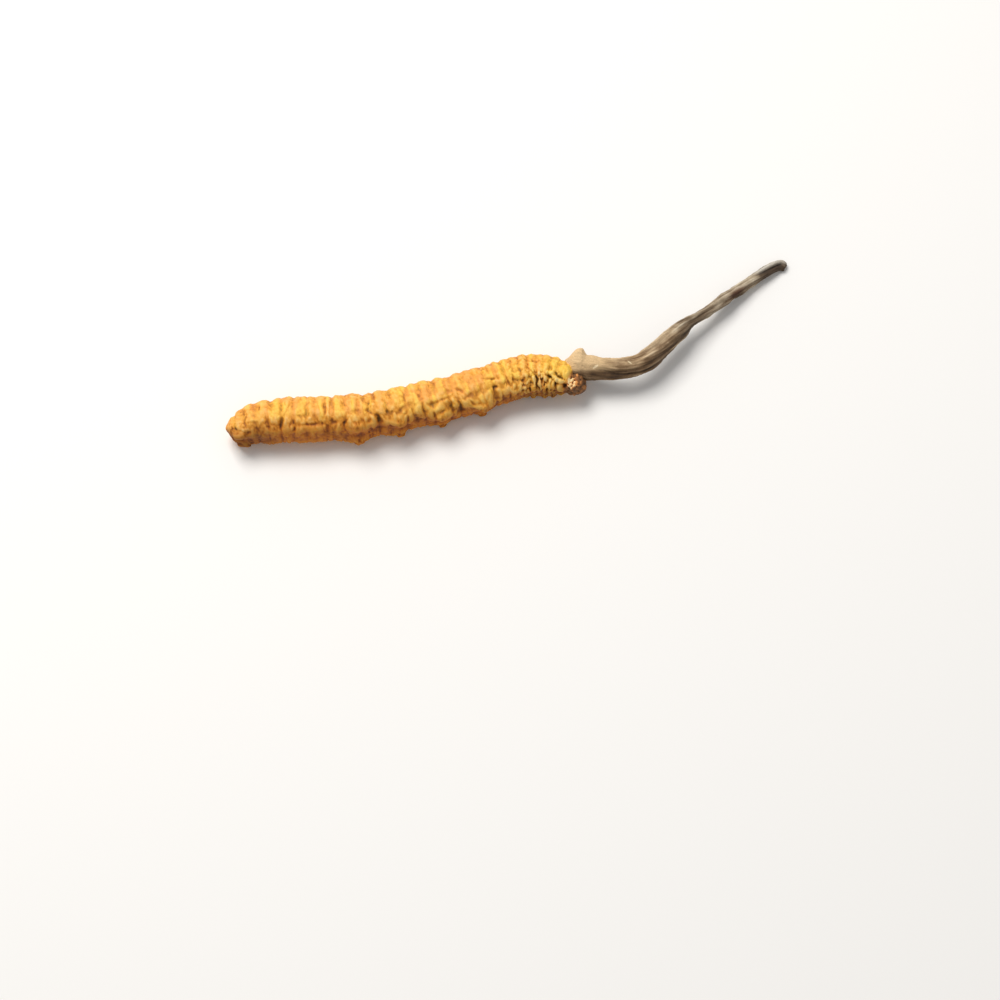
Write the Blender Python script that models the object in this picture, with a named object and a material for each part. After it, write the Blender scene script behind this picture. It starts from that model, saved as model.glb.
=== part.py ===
"""A dried cordyceps: the mummified larva and the stalk of the fungus that grew from its head.

Metres, +Z up. The piece lies on its left side on the table: tail towards -X, tip of the stalk towards +X,
back of the larva towards +Y. The middle of its bounding box is over the origin and its underside is
at z = 0. All the dimensions below are in millimetres and degrees.
"""

import math

import bpy
from mathutils import Vector

MM = 0.001

# Middle line of each piece from end to end: x, y, height above the table, half thickness. The last number of
# the larva is the direction its belly faces, in degrees from +Y over the top: the body is a little twisted.
LARVA_LINE = (
    (-34.70, -10.50, 2.15, 0.00, 178),
    (-34.02, -10.46, 2.20, 1.20, 178),
    (-33.14, -10.43, 2.30, 1.74, 178),
    (-32.16, -10.16, 2.45, 2.36, 178),
    (-30.31, -9.76, 2.60, 2.78, 177),
    (-27.97, -9.58, 2.65, 2.88, 175),
    (-24.40, -9.51, 2.65, 2.90, 173),
    (-20.59, -9.31, 2.65, 2.86, 172),
    (-17.02, -8.84, 2.65, 2.86, 174),
    (-13.46, -8.03, 2.65, 2.88, 181),
    (-10.14, -7.21, 2.65, 2.90, 187),
    (-7.06, -6.47, 2.65, 2.92, 191),
    (-4.59, -5.72, 2.65, 2.90, 194),
    (-2.11, -4.90, 2.65, 2.92, 195),
    (0.37, -4.02, 2.65, 2.88, 192),
    (2.60, -3.54, 2.65, 2.76, 189),
    (4.71, -3.47, 2.65, 2.66, 187),
    (6.32, -3.77, 2.70, 2.46, 186),
    (7.43, -4.25, 2.72, 1.96, 186),
    (8.66, -4.88, 2.75, 1.48, 186),
    (9.38, -5.32, 2.75, 0.98, 186),
    (9.77, -5.56, 2.75, 0.00, 186),
)
STROMA_LINE = (
    (7.08, -2.72, 2.65, 0.00),
    (7.35, -2.66, 2.70, 1.02),
    (7.75, -2.58, 2.76, 1.38),
    (8.40, -2.60, 2.86, 1.58),
    (9.43, -2.66, 3.00, 1.58),
    (10.54, -2.76, 3.20, 1.49),
    (11.77, -2.91, 3.35, 1.34),
    (13.75, -2.96, 3.40, 1.25),
    (15.49, -2.66, 3.40, 1.25),
    (17.12, -1.88, 3.35, 1.31),
    (18.78, -0.39, 3.25, 1.34),
    (20.45, 1.34, 3.10, 1.29),
    (22.14, 3.12, 2.85, 1.13),
    (23.71, 4.39, 2.55, 0.89),
    (25.41, 5.75, 2.20, 0.80),
    (27.13, 7.26, 1.85, 0.87),
    (28.85, 8.64, 1.50, 0.80),
    (30.58, 10.07, 1.20, 0.71),
    (32.18, 11.34, 0.95, 0.74),
    (33.65, 12.37, 0.75, 0.71),
    (34.84, 12.98, 0.60, 0.62),
    (35.50, 12.98, 0.56, 0.40),
    (35.73, 12.88, 0.55, 0.00),
)
CENTRE = Vector((0.515, 0.577))

# Creases between the rings of the body: distance from the tail along the middle line, and depth.
CREASES = (
    (1.50, 0.06), (2.75, 0.22), (3.95, 0.12), (5.60, 0.24), (7.15, 0.36), (8.65, 0.22), (10.25, 0.22),
    (11.35, 0.12), (12.65, 0.34), (13.35, 0.28), (14.80, 0.14), (16.55, 0.24), (17.85, 0.36), (18.75, 0.14),
    (20.00, 0.22), (22.25, 0.38), (23.40, 0.20), (24.50, 0.22), (25.60, 0.24), (27.70, 0.34), (28.80, 0.32),
    (30.40, 0.14), (31.90, 0.24), (33.25, 0.36), (34.10, 0.22), (35.10, 0.14), (36.20, 0.34), (37.15, 0.14),
    (38.15, 0.22), (39.15, 0.32), (40.00, 0.16), (40.90, 0.34), (41.75, 0.16), (42.50, 0.30), (43.45, 0.34),
)  # fmt: skip
CREASE_HALF_WIDTH = 0.26
DEEP_CREASE = 0.30
WAIST_DEPTH = 0.10
WAIST_HALF_WIDTH = 0.95

# Lengthwise folds and rolls of the sides: direction, half width, and how far they stand out or, below 0, in.
SIDE_FOLDS = ((122.0, 11.0, -0.20), (258.0, 11.0, -0.20), (141.0, 12.0, 0.10), (239.0, 12.0, 0.10))
BELLY_HOLLOW = (20.0, 0.16)
FLANKS = (112.0, 30.0)
UNDERSIDE = 270.0

# Legs, one pair a row: distance from the tail, degrees from the belly, how far the middle of the leg stands
# out of the middle line, half length, half width along the body, half width round it, lean to the head.
LEG_PAIRS = (
    (2.00, 34.0, 1.45, 1.15, 0.78, 0.70, -0.70),
    (16.50, 33.0, 2.35, 1.05, 1.30, 0.85, 0.00),
    (21.60, 33.0, 2.35, 1.08, 1.35, 0.85, 0.05),
    (26.70, 31.0, 2.35, 1.08, 1.35, 0.88, 0.05),
    (32.20, 29.0, 2.40, 1.12, 1.50, 0.92, 0.05),
    (38.70, 36.0, 2.10, 1.02, 0.66, 0.58, 0.12),
    (40.40, 36.0, 2.00, 1.06, 0.62, 0.56, 0.22),
    (42.00, 35.0, 1.75, 1.04, 0.60, 0.54, 0.35),
)

# Stalk: the flared lip on its foot, then its lengthwise furrows (direction, half width, depth as a share of
# the radius) and how fast they twist.
LIP_DIRECTION = 24.0
LIP_HEIGHT = 0.72
LIP_START = 0.2
LIP_CREST = 2.35
LIP_END = 2.85
FURROWS = ((0.0, 21.0, 0.20), (108.0, 18.0, 0.17), (198.0, 20.0, 0.20), (288.0, 18.0, 0.16))
TWIST_PER_MM = 5.5
OVAL = 0.07
SEAT_GAP = 0.20

LARVA_SIDES = 28
STROMA_SIDES = 20
STROMA_STEP = 0.72
SEAT_SIDES = 24
SEAT_STATIONS = (0.0, 0.4, 1.5, 4.0, 12.0, 20.0, 28.0, 34.0, 38.0, 40.0, 41.0, 41.9, 42.6, 43.2, 43.8, 44.5)
SEAT_STATIONS += (45.2, 45.6, 45.82)


def spread(points):
    """Distance of each point of a middle line from its first point, along the line."""
    far = [0.0]
    for before, after in zip(points, points[1:]):
        far.append(far[-1] + math.dist(before[:3], after[:3]))
    return far


def slopes(points, far):
    """Rate of change of every column at every point, as the parabola through it and its neighbours has it."""
    found = []
    last = len(points) - 1
    for i in range(last + 1):
        a, b = max(i - 1, 0), min(i + 1, last)
        found.append([(q - p) / (far[b] - far[a]) for p, q in zip(points[a], points[b])])
    return found


class Line:
    """A smooth middle line through points, read by distance from its first point."""

    def __init__(self, points):
        self.points = points
        self.far = spread(points)
        self.slopes = slopes(points, self.far)
        self.length = self.far[-1]

    def at(self, s):
        """The numbers of the line's points, smoothly read at distance s."""
        s = min(max(s, 0.0), self.length)
        i = max(k for k in range(len(self.far) - 1) if self.far[k] <= s + 1e-9)
        span = self.far[i + 1] - self.far[i]
        t = (s - self.far[i]) / span
        h00, h10 = (1 + 2 * t) * (1 - t) ** 2, t * (1 - t) ** 2
        h01, h11 = t * t * (3 - 2 * t), t * t * (t - 1)
        ends = zip(self.points[i], self.slopes[i], self.points[i + 1], self.slopes[i + 1])
        return [h00 * p + h10 * span * m + h01 * q + h11 * span * n for p, m, q, n in ends]

    def frame(self, s):
        """Middle point, direction along the line, level direction across it and the one square to both."""
        middle = Vector(self.at(s)[:3])
        along = (Vector(self.at(s + 0.05)[:3]) - Vector(self.at(s - 0.05)[:3])).normalized()
        across = Vector((-along.y, along.x, 0.0)).normalized()
        return middle, along, across, along.cross(across)

    def place(self, s, angle, radius):
        """The point at this radius and angle round the line."""
        middle, _, across, over = self.frame(s)
        turn = math.radians(angle)
        return middle + radius * (math.cos(turn) * across + math.sin(turn) * over)


def bump(x, middle, half_width):
    return math.exp(-(((x - middle) / half_width) ** 2))


def apart(a, b):
    """Smallest angle between two directions, in degrees."""
    return abs((a - b + 180.0) % 360.0 - 180.0)


def step_up(x, start, end):
    t = min(max((x - start) / (end - start), 0.0), 1.0)
    return t * t * (3 - 2 * t)


def larva_radius(line, s, angle, creased=True):
    """Distance of the skin from the middle line. Creases run out on the underside, where the body rests."""
    radius = line.at(s)[3]
    if not creased:
        return radius
    full = step_up(radius, 0.6, 2.2) * (1 - bump(apart(angle, UNDERSIDE), 0.0, 34.0))
    for direction, half_width, height in SIDE_FOLDS:
        radius += height * full * bump(apart(angle, direction), 0.0, half_width)
    belly = apart(angle, line.at(s)[4])
    radius -= BELLY_HOLLOW[1] * full * bump(belly, 0.0, BELLY_HOLLOW[0])
    flank = 1 + 0.35 * bump(belly, FLANKS[0] - 37.0, FLANKS[1])
    for middle, depth in CREASES:
        cut = depth * bump(s, middle, CREASE_HALF_WIDTH)
        if depth > DEEP_CREASE:
            cut += WAIST_DEPTH * bump(s, middle, WAIST_HALF_WIDTH)
        radius -= cut * flank * (1 - bump(apart(angle, UNDERSIDE), 0.0, 34.0))
    return max(radius, 0.0)


def larva_sway(s, angle):
    """How far a ring leans along the body at this angle, so that no crease is a plain circle."""
    turn = math.radians(angle)
    return 0.13 * math.sin(2 * turn + 0.9 * s) + 0.07 * math.sin(3 * turn - 1.7 * s)


def no_sway(s, angle):
    return 0.0


def seat_radius(line, s, angle):
    """The larva's skin without its creases, and the gap round it, which the foot of the stalk is cut back to."""
    return larva_radius(line, s, angle, creased=False) + SEAT_GAP * step_up(s, 0.0, 2.0)


def stroma_radius(line, s, angle):
    """Distance of the stalk's surface from its middle line: oval, twisted, furrowed, with a lip on the foot."""
    radius = line.at(s)[3]
    turned = angle - TWIST_PER_MM * s
    scale = 1 + OVAL * math.cos(math.radians(2 * turned))
    end = step_up(s, line.length - 5.0, line.length - 1.5)
    grown = step_up(s, 2.0, 6.0)
    for middle, half_width, depth in FURROWS:
        scale -= depth * (0.35 + 0.65 * grown) * bump(apart(turned, middle), 0.0, half_width)
    scale -= 0.34 * end * bump(apart(angle, 75.0), 0.0, 24.0)
    lip = step_up(s, LIP_START, LIP_CREST) * (1 - step_up(s, LIP_CREST, LIP_END))
    rise = LIP_HEIGHT * lip * bump(apart(angle, LIP_DIRECTION), 0.0, 36.0)
    return radius * scale + rise


def larva_stations():
    """Distances of the rings of points: a crease, then the two shoulders of the roll after it, and so on."""
    edges = [0.0] + [middle for middle, _ in CREASES] + [LARVA.length]
    stations = [0.0, 0.22, 0.68]
    for a, b in zip(edges[1:], edges[2:]):
        stations += [a, a + 0.30 * (b - a), a + 0.70 * (b - a)]
    return stations + [LARVA.length - 0.20, LARVA.length]


def stroma_stations():
    """Distances of the rings of points: close over the foot and at the tip, evenly spaced between."""
    foot = [0.0, 0.25, 0.7, 1.2, 1.7, 2.1, 2.35, 2.6, 2.85, 3.3]
    count = round((STROMA.length - 1.2 - foot[-1]) / STROMA_STEP)
    shaft = [foot[-1] + (STROMA.length - 1.2 - foot[-1]) * (i + 1) / count for i in range(count)]
    return foot + shaft + [STROMA.length - 0.7, STROMA.length - 0.3, STROMA.length]


def tube(name, line, stations, sides, radius, sway, collection):
    """A sphere primitive drawn out along a middle line, one of its rings at each station."""
    bpy.ops.mesh.primitive_uv_sphere_add(segments=sides, ring_count=len(stations) - 1, radius=1.0)
    piece = bpy.context.object
    piece.name = name
    for vertex in piece.data.vertices:
        down = math.acos(min(max(vertex.co.z, -1.0), 1.0)) / math.pi
        s = stations[round(down * (len(stations) - 1))]
        angle = math.degrees(math.atan2(vertex.co.y, vertex.co.x)) % 360.0
        far = radius(line, s, angle)
        place = line.place(s + sway(s, angle) * min(far, 1.0), angle, far)
        vertex.co = MM * Vector((place.x - CENTRE.x, place.y - CENTRE.y, max(place.z, 0.0)))
    bpy.ops.object.mode_set(mode="EDIT")
    bpy.ops.mesh.select_all(action="SELECT")
    bpy.ops.mesh.normals_make_consistent(inside=False)
    bpy.ops.object.mode_set(mode="OBJECT")
    bpy.ops.object.shade_smooth()
    move_to(piece, collection)
    return piece


def move_to(piece, collection):
    for old in list(piece.users_collection):
        old.objects.unlink(piece)
    collection.objects.link(piece)


def leg(name, line, row, side, collection):
    """One leg: a sphere primitive stretched out of the body, leaning to the head."""
    s, off_belly, out, half_length, half_along, half_round, lean = row
    angle = line.at(s)[4] + side * off_belly
    bpy.ops.mesh.primitive_uv_sphere_add(segments=10, ring_count=6, radius=1.0)
    piece = bpy.context.object
    piece.name = name
    middle, along, across, over = line.frame(s)
    turn = math.radians(angle)
    outward = (math.cos(turn) * across + math.sin(turn) * over + lean * along).normalized()
    around = outward.cross(along).normalized()
    forward = around.cross(outward)
    start = line.place(s, angle, out)
    for vertex in piece.data.vertices:
        x, y, z = vertex.co
        blunt = 1 - 0.18 * max(z, 0.0)
        spot = start + half_length * z * outward
        spot += blunt * (half_along * x * forward + half_round * y * around)
        vertex.co = MM * Vector((spot.x - CENTRE.x, spot.y - CENTRE.y, max(spot.z, 0.02)))
    bpy.ops.object.mode_set(mode="EDIT")
    bpy.ops.mesh.select_all(action="SELECT")
    bpy.ops.mesh.normals_make_consistent(inside=False)
    bpy.ops.object.mode_set(mode="OBJECT")
    move_to(piece, collection)
    piece.display_type = "WIRE"
    piece.hide_render = True
    return piece


def combine(piece, other, operation):
    modifier = piece.modifiers.new(f"{operation.lower()} {other.name}", "BOOLEAN")
    modifier.operation = operation
    modifier.solver = "EXACT"
    modifier.object = other


def paint(piece, name, colour, roughness):
    material = bpy.data.materials.new(name)
    material.use_nodes = True
    shader = material.node_tree.nodes["Principled BSDF"]
    shader.inputs["Base Color"].default_value = (*colour, 1.0)
    shader.inputs["Roughness"].default_value = roughness
    piece.data.materials.clear()
    piece.data.materials.append(material)


LARVA = Line(LARVA_LINE)
STROMA = Line(STROMA_LINE)


def main():
    for old in list(bpy.data.objects):
        bpy.data.objects.remove(old, do_unlink=True)
    model = bpy.data.collections.new("dried cordyceps")
    helpers = bpy.data.collections.new("helpers")
    bpy.context.scene.collection.children.link(model)
    bpy.context.scene.collection.children.link(helpers)

    body = tube("larva", LARVA, larva_stations(), LARVA_SIDES, larva_radius, larva_sway, model)
    for number, row in enumerate(LEG_PAIRS):
        for side, word in ((-1, "right"), (1, "left")):
            combine(body, leg(f"{word}_leg_{number}", LARVA, row, side, helpers), "UNION")
    paint(body, "dried larva skin", (0.55, 0.30, 0.07), 0.75)

    stalk = tube("stroma", STROMA, stroma_stations(), STROMA_SIDES, stroma_radius, no_sway, model)
    seat = tube("seat", LARVA, SEAT_STATIONS, SEAT_SIDES, seat_radius, no_sway, helpers)
    seat.display_type = "WIRE"
    seat.hide_render = True
    combine(stalk, seat, "DIFFERENCE")
    paint(stalk, "dried fungus stalk", (0.20, 0.14, 0.09), 0.85)
    bpy.context.view_layer.update()


main()
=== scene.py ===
"""A dried cordyceps, dressed for its portrait: the mummified larva and the fungus stalk on its head.

Both pieces are first modelled straight, with their length along +X and in millimetres, and are then bent
onto their middle lines and brought to metres. "Straight" below means that first shape. Directions round a
piece are degrees from +Y over the top, and a "station" is a distance from its first end along its middle.
"""

import logging
import math
from dataclasses import dataclass, field
from enum import Enum
from typing import Any

import bmesh
import bpy
import numpy as np
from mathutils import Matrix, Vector


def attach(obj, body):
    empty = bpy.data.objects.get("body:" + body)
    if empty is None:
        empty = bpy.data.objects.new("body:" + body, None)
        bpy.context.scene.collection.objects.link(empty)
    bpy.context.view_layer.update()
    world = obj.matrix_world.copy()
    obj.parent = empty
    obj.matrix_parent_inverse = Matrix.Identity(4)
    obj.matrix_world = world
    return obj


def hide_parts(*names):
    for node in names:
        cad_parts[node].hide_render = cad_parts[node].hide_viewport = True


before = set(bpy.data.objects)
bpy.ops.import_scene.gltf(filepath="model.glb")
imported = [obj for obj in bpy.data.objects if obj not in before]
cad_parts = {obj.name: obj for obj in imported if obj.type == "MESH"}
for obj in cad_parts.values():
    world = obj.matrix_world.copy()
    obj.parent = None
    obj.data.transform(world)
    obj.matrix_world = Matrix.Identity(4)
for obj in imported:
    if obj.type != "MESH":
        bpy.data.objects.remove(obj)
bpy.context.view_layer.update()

LOG = logging.getLogger("dried_cordyceps")
MM = 0.001
# The point of the middle lines that lies at the CAD's origin, in their millimetres.
CENTRE = np.array([0.515, 0.577, 0.0])
# Large numbers that scramble a cell's place and a seed into one value.
CELL_KEYS = np.array([73856093, 19349663, 83492791])
SEED_KEY, STIR_KEY, LOW_BITS = 7919, 1274126177, 0xFFFF
# Each layer of noise is this much finer than the last, and lies this far from it.
FINER, LAYER_SHIFT = 2.03, 17.3
# Radius of a round lump, rounding of a fold's bottom and its level, all in cells of the pattern.
LUMP_RADIUS, FOLD_ROUNDING, FOLD_LEVEL = 0.85, 0.004, 0.06

Span = tuple[float, float]
Place = tuple[float, float, float]
Range = tuple[float, float, float, float]
Rows = tuple[tuple[float, ...], ...]


def step_up(x: Any, start: float, end: float) -> Any:
    """A smooth rise from 0 at start to 1 at end."""
    t = np.clip((np.asarray(x, float) - start) / (end - start), 0.0, 1.0)
    return t * t * (3 - 2 * t)


def bump(x: Any, middle: Any, half_width: Any) -> Any:
    """A smooth bump of height 1 at middle."""
    return np.exp(-(((np.asarray(x, float) - middle) / half_width) ** 2))


def turn_from(a: Any, b: Any) -> Any:
    """The turn from direction b to direction a, from -180 to 180 degrees."""
    return (np.asarray(a, float) - b + 180.0) % 360.0 - 180.0


def apart(a: Any, b: Any) -> Any:
    """Smallest angle between two directions, in degrees."""
    return np.abs(turn_from(a, b))


def corner_value(cell: np.ndarray, seed: int) -> np.ndarray:
    """A fixed value between 0 and 1 for each whole-numbered cell.

    Args:
        cell: whole numbers, three a row.
        seed: picks one pattern of values.

    Returns:
        One value a row.
    """
    key = (cell * CELL_KEYS).sum(axis=-1) + seed * SEED_KEY
    key = (key ^ (key >> 13)) * STIR_KEY
    return ((key ^ (key >> 16)) & LOW_BITS) / LOW_BITS


def soft_noise(place: np.ndarray, seed: int, layers: int = 2) -> np.ndarray:
    """Smooth noise between -1 and 1 with lumps of about size 1.

    Args:
        place: points, three numbers a row.
        seed: picks one pattern.
        layers: how many ever finer layers are summed.

    Returns:
        One value a row.
    """
    total, share = np.zeros(len(place)), 0.0
    for layer in range(layers):
        spot = place * FINER**layer + LAYER_SHIFT * layer
        cell = np.floor(spot).astype(np.int64)
        part = spot - cell
        fade = part * part * (3 - 2 * part)
        for corner in range(8):
            step = np.array([corner & 1, corner >> 1 & 1, corner >> 2])
            weight = np.where(step == 1, fade, 1 - fade).prod(axis=1)
            total += 0.5**layer * weight * (2 * corner_value(cell + step, seed + layer) - 1)
        share += 0.5**layer
    return total / share


def scattered(place: np.ndarray, seed: int) -> tuple[np.ndarray, np.ndarray]:
    """Scatters centres, about one a unit cube, and finds the nearest to each point.

    Args:
        place: points, three numbers a row.
        seed: picks one scatter.

    Returns:
        The distance to the nearest centre, and a number between 0 and 1 that belongs to that centre.
    """
    cell = np.floor(place).astype(np.int64)
    nearest = np.full(len(place), np.inf)
    tone = np.zeros(len(place))
    for corner in range(27):
        there = cell + np.array([corner % 3 - 1, corner // 3 % 3 - 1, corner // 9 - 1])
        shift = np.stack([corner_value(there, seed + k) for k in (1, 2, 3)], axis=-1)
        far = np.linalg.norm(there + shift - place, axis=1)
        tone = np.where(far < nearest, corner_value(there, seed + 4), tone)
        nearest = np.minimum(nearest, far)
    return nearest, tone


def round_lumps(place: np.ndarray, seed: int) -> np.ndarray:
    """Round lumps that press against each other: 1 on top of each, 0 in the widest gaps."""
    return np.sqrt(np.clip(1.0 - (scattered(place, seed)[0] / LUMP_RADIUS) ** 2, 0.0, 1.0))


def soft_folds(place: np.ndarray, seed: int) -> np.ndarray:
    """Rolls of skin that part at narrow folds with rounded bottoms: 0 in a fold, about 0.4 on a roll."""
    return np.sqrt(soft_noise(place, seed) ** 2 + FOLD_ROUNDING) - FOLD_LEVEL


def evened(values: np.ndarray, ends: np.ndarray, rounds: int) -> np.ndarray:
    """Evens a value out over a mesh, so that what is left of it tells a hollow from a crest.

    Args:
        values: one number a vertex.
        ends: the two vertices of each edge.
        rounds: how often each vertex takes the mean of itself and its neighbours.

    Returns:
        The evened values.
    """
    count = np.bincount(ends.ravel(), minlength=len(values)) + 1.0
    for _ in range(rounds):
        near = np.bincount(ends[:, 0], weights=values[ends[:, 1]], minlength=len(values))
        near += np.bincount(ends[:, 1], weights=values[ends[:, 0]], minlength=len(values))
        values = (values + near) / count
    return values


def read_round(straight: np.ndarray) -> tuple[np.ndarray, np.ndarray, np.ndarray]:
    """Reads where the points of a straight piece lie round its middle.

    Args:
        straight: the points.

    Returns:
        Direction in degrees, distance from the middle, and the unit vector away from it, of each point.
    """
    angle = np.degrees(np.arctan2(straight[:, 2], straight[:, 1])) % 360.0
    radius = np.hypot(straight[:, 1], straight[:, 2])
    return angle, radius, straight * (0, 1, 1) / np.maximum(radius, 1e-6)[:, None]


def oval(along: np.ndarray, across: np.ndarray, half_length: float, half_width: float, turned: float) -> np.ndarray:
    """How far points lie from the middle of a turned oval.

    Args:
        along: how far along the piece from its middle they lie.
        across: how far round the piece from it.
        half_length: half the oval's length.
        half_width: half its width.
        turned: its turn in degrees, 0 where it lies along the piece.

    Returns:
        The square of the distance, which is 1 at the oval's edge.
    """
    c, s = math.cos(math.radians(turned)), math.sin(math.radians(turned))
    return ((along * c + across * s) / half_length) ** 2 + ((across * c - along * s) / half_width) ** 2


class MiddleLine:
    """A smooth line through points, read by distance from its first point."""

    # Half the length that a direction is read over, in millimetres, and how many places a search looks at.
    reach: float = 0.05
    places: int = 900

    def __init__(self, points: Rows) -> None:
        """Measures the line.

        Args:
            points: rows of x, y, z and whatever else changes along the line.
        """
        self.points = np.array(points, float)
        gaps = np.linalg.norm(np.diff(self.points[:, :3], axis=0), axis=1)
        self.far = np.concatenate([[0.0], np.cumsum(gaps)])
        last = len(points) - 1
        before = np.maximum(np.arange(last + 1) - 1, 0)
        after = np.minimum(np.arange(last + 1) + 1, last)
        self.slopes = (self.points[after] - self.points[before]) / (self.far[after] - self.far[before])[:, None]
        self.length = float(self.far[-1])

    def at(self, station: Any) -> np.ndarray:
        """The line's numbers at these stations.

        Args:
            station: distances from the first point.

        Returns:
            One row of the line's numbers a station.
        """
        s = np.clip(np.atleast_1d(np.asarray(station, float)), 0.0, self.length)
        i = np.clip(np.searchsorted(self.far, s + 1e-9, side="right") - 1, 0, len(self.far) - 2)
        wide = (self.far[i + 1] - self.far[i])[:, None]
        t = (s - self.far[i])[:, None] / wide
        value = (1 + 2 * t) * (1 - t) ** 2 * self.points[i] + t * (1 - t) ** 2 * wide * self.slopes[i]
        value += t * t * (3 - 2 * t) * self.points[i + 1] + t * t * (t - 1) * wide * self.slopes[i + 1]
        return value

    def ways(self, station: np.ndarray) -> tuple[np.ndarray, np.ndarray, np.ndarray]:
        """The unit vectors along the line, level across it and over it.

        Args:
            station: distances from the first point.

        Returns:
            The three vectors, each with one row a station.
        """
        along = self.at(station + self.reach)[:, :3] - self.at(station - self.reach)[:, :3]
        along /= np.linalg.norm(along, axis=1)[:, None]
        across = np.stack([-along[:, 1], along[:, 0], np.zeros(len(along))], axis=1)
        across /= np.linalg.norm(across, axis=1)[:, None]
        return along, across, np.cross(along, across)

    def bend(self, straight: np.ndarray) -> np.ndarray:
        """Carries straight points onto the line.

        Args:
            straight: rows of station, level offset and upward offset, in millimetres.

        Returns:
            Their places in the line's own millimetres.
        """
        station = straight[:, 0]
        along, across, over = self.ways(station)
        beyond = station - np.clip(station, 0.0, self.length)
        middle = self.at(station)[:, :3]
        return middle + straight[:, 1:2] * across + straight[:, 2:3] * over + beyond[:, None] * along

    def nearest(self, places: np.ndarray) -> tuple[np.ndarray, np.ndarray, np.ndarray]:
        """Reads places in terms of the line.

        Args:
            places: points in the line's own millimetres.

        Returns:
            Station, direction round the line in degrees, and distance from it, of each point.
        """
        stations = np.linspace(0.0, self.length, self.places)
        middles = self.at(stations)[:, :3]
        nearest = np.array([np.argmin(((middles - place) ** 2).sum(axis=1)) for place in places])
        _, across, over = self.ways(stations[nearest])
        out = places - middles[nearest]
        level, up = (out * across).sum(axis=1), (out * over).sum(axis=1)
        return stations[nearest], np.degrees(np.arctan2(up, level)) % 360.0, np.hypot(level, up)


def linear(code: str) -> tuple[float, float, float, float]:
    """Turns an sRGB colour into the linear one that a shader takes.

    Args:
        code: a hex code such as "#c08040".

    Returns:
        Red, green, blue and full opacity.
    """
    parts = [int(code[i : i + 2], 16) / 255 for i in (1, 3, 5)]
    red, green, blue = (p / 12.92 if p <= 0.04045 else ((p + 0.055) / 1.055) ** 2.4 for p in parts)
    return red, green, blue, 1.0


def add(tree: bpy.types.NodeTree, kind: str, links: Any = (), out: Any = 0, **settings: Any) -> Any:
    """Adds a node with its settings and links.

    Args:
        tree: the material's node tree.
        kind: the node's type, without its leading "ShaderNode".
        links: sockets for its inputs, or values that they keep, in order or by name or number.
        out: name or number of the output that is wanted.
        settings: properties of the node, and stops, a ramp's rows of place and hex colour.

    Returns:
        The output socket.
    """
    made = tree.nodes.new("ShaderNode" + kind)
    stops = settings.pop("stops", ())
    for name, value in settings.items():
        setattr(made, name, value)
    while stops and len(made.color_ramp.elements) < len(stops):
        made.color_ramp.elements.new(0.5)
    for i, (place, code) in enumerate(stops):
        made.color_ramp.elements[i].position = place
        made.color_ramp.elements[i].color = linear(code)
    for name, value in links.items() if isinstance(links, dict) else enumerate(links):
        if isinstance(value, bpy.types.NodeSocket):
            tree.links.new(value, made.inputs[name])
        else:
            made.inputs[name].default_value = value
    return made.outputs[out]


def new_material(name: str) -> tuple[bpy.types.Material, bpy.types.NodeTree]:
    """A fresh material.

    Args:
        name: what the real material is.

    Returns:
        The material and its empty node tree.
    """
    material = bpy.data.materials.new(name)
    material.use_nodes = True
    material.node_tree.nodes.clear()
    return material, material.node_tree


def close_off(tree: bpy.types.NodeTree, surface: dict[str, Any]) -> None:
    """Ends a material with its shader and its output.

    Args:
        tree: the material's node tree.
        surface: a socket or a value for each input of the shader that isn't left as it is.
    """
    shader = add(tree, "BsdfPrincipled", surface)
    tree.links.new(shader, tree.nodes.new("ShaderNodeOutputMaterial").inputs["Surface"])


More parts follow.
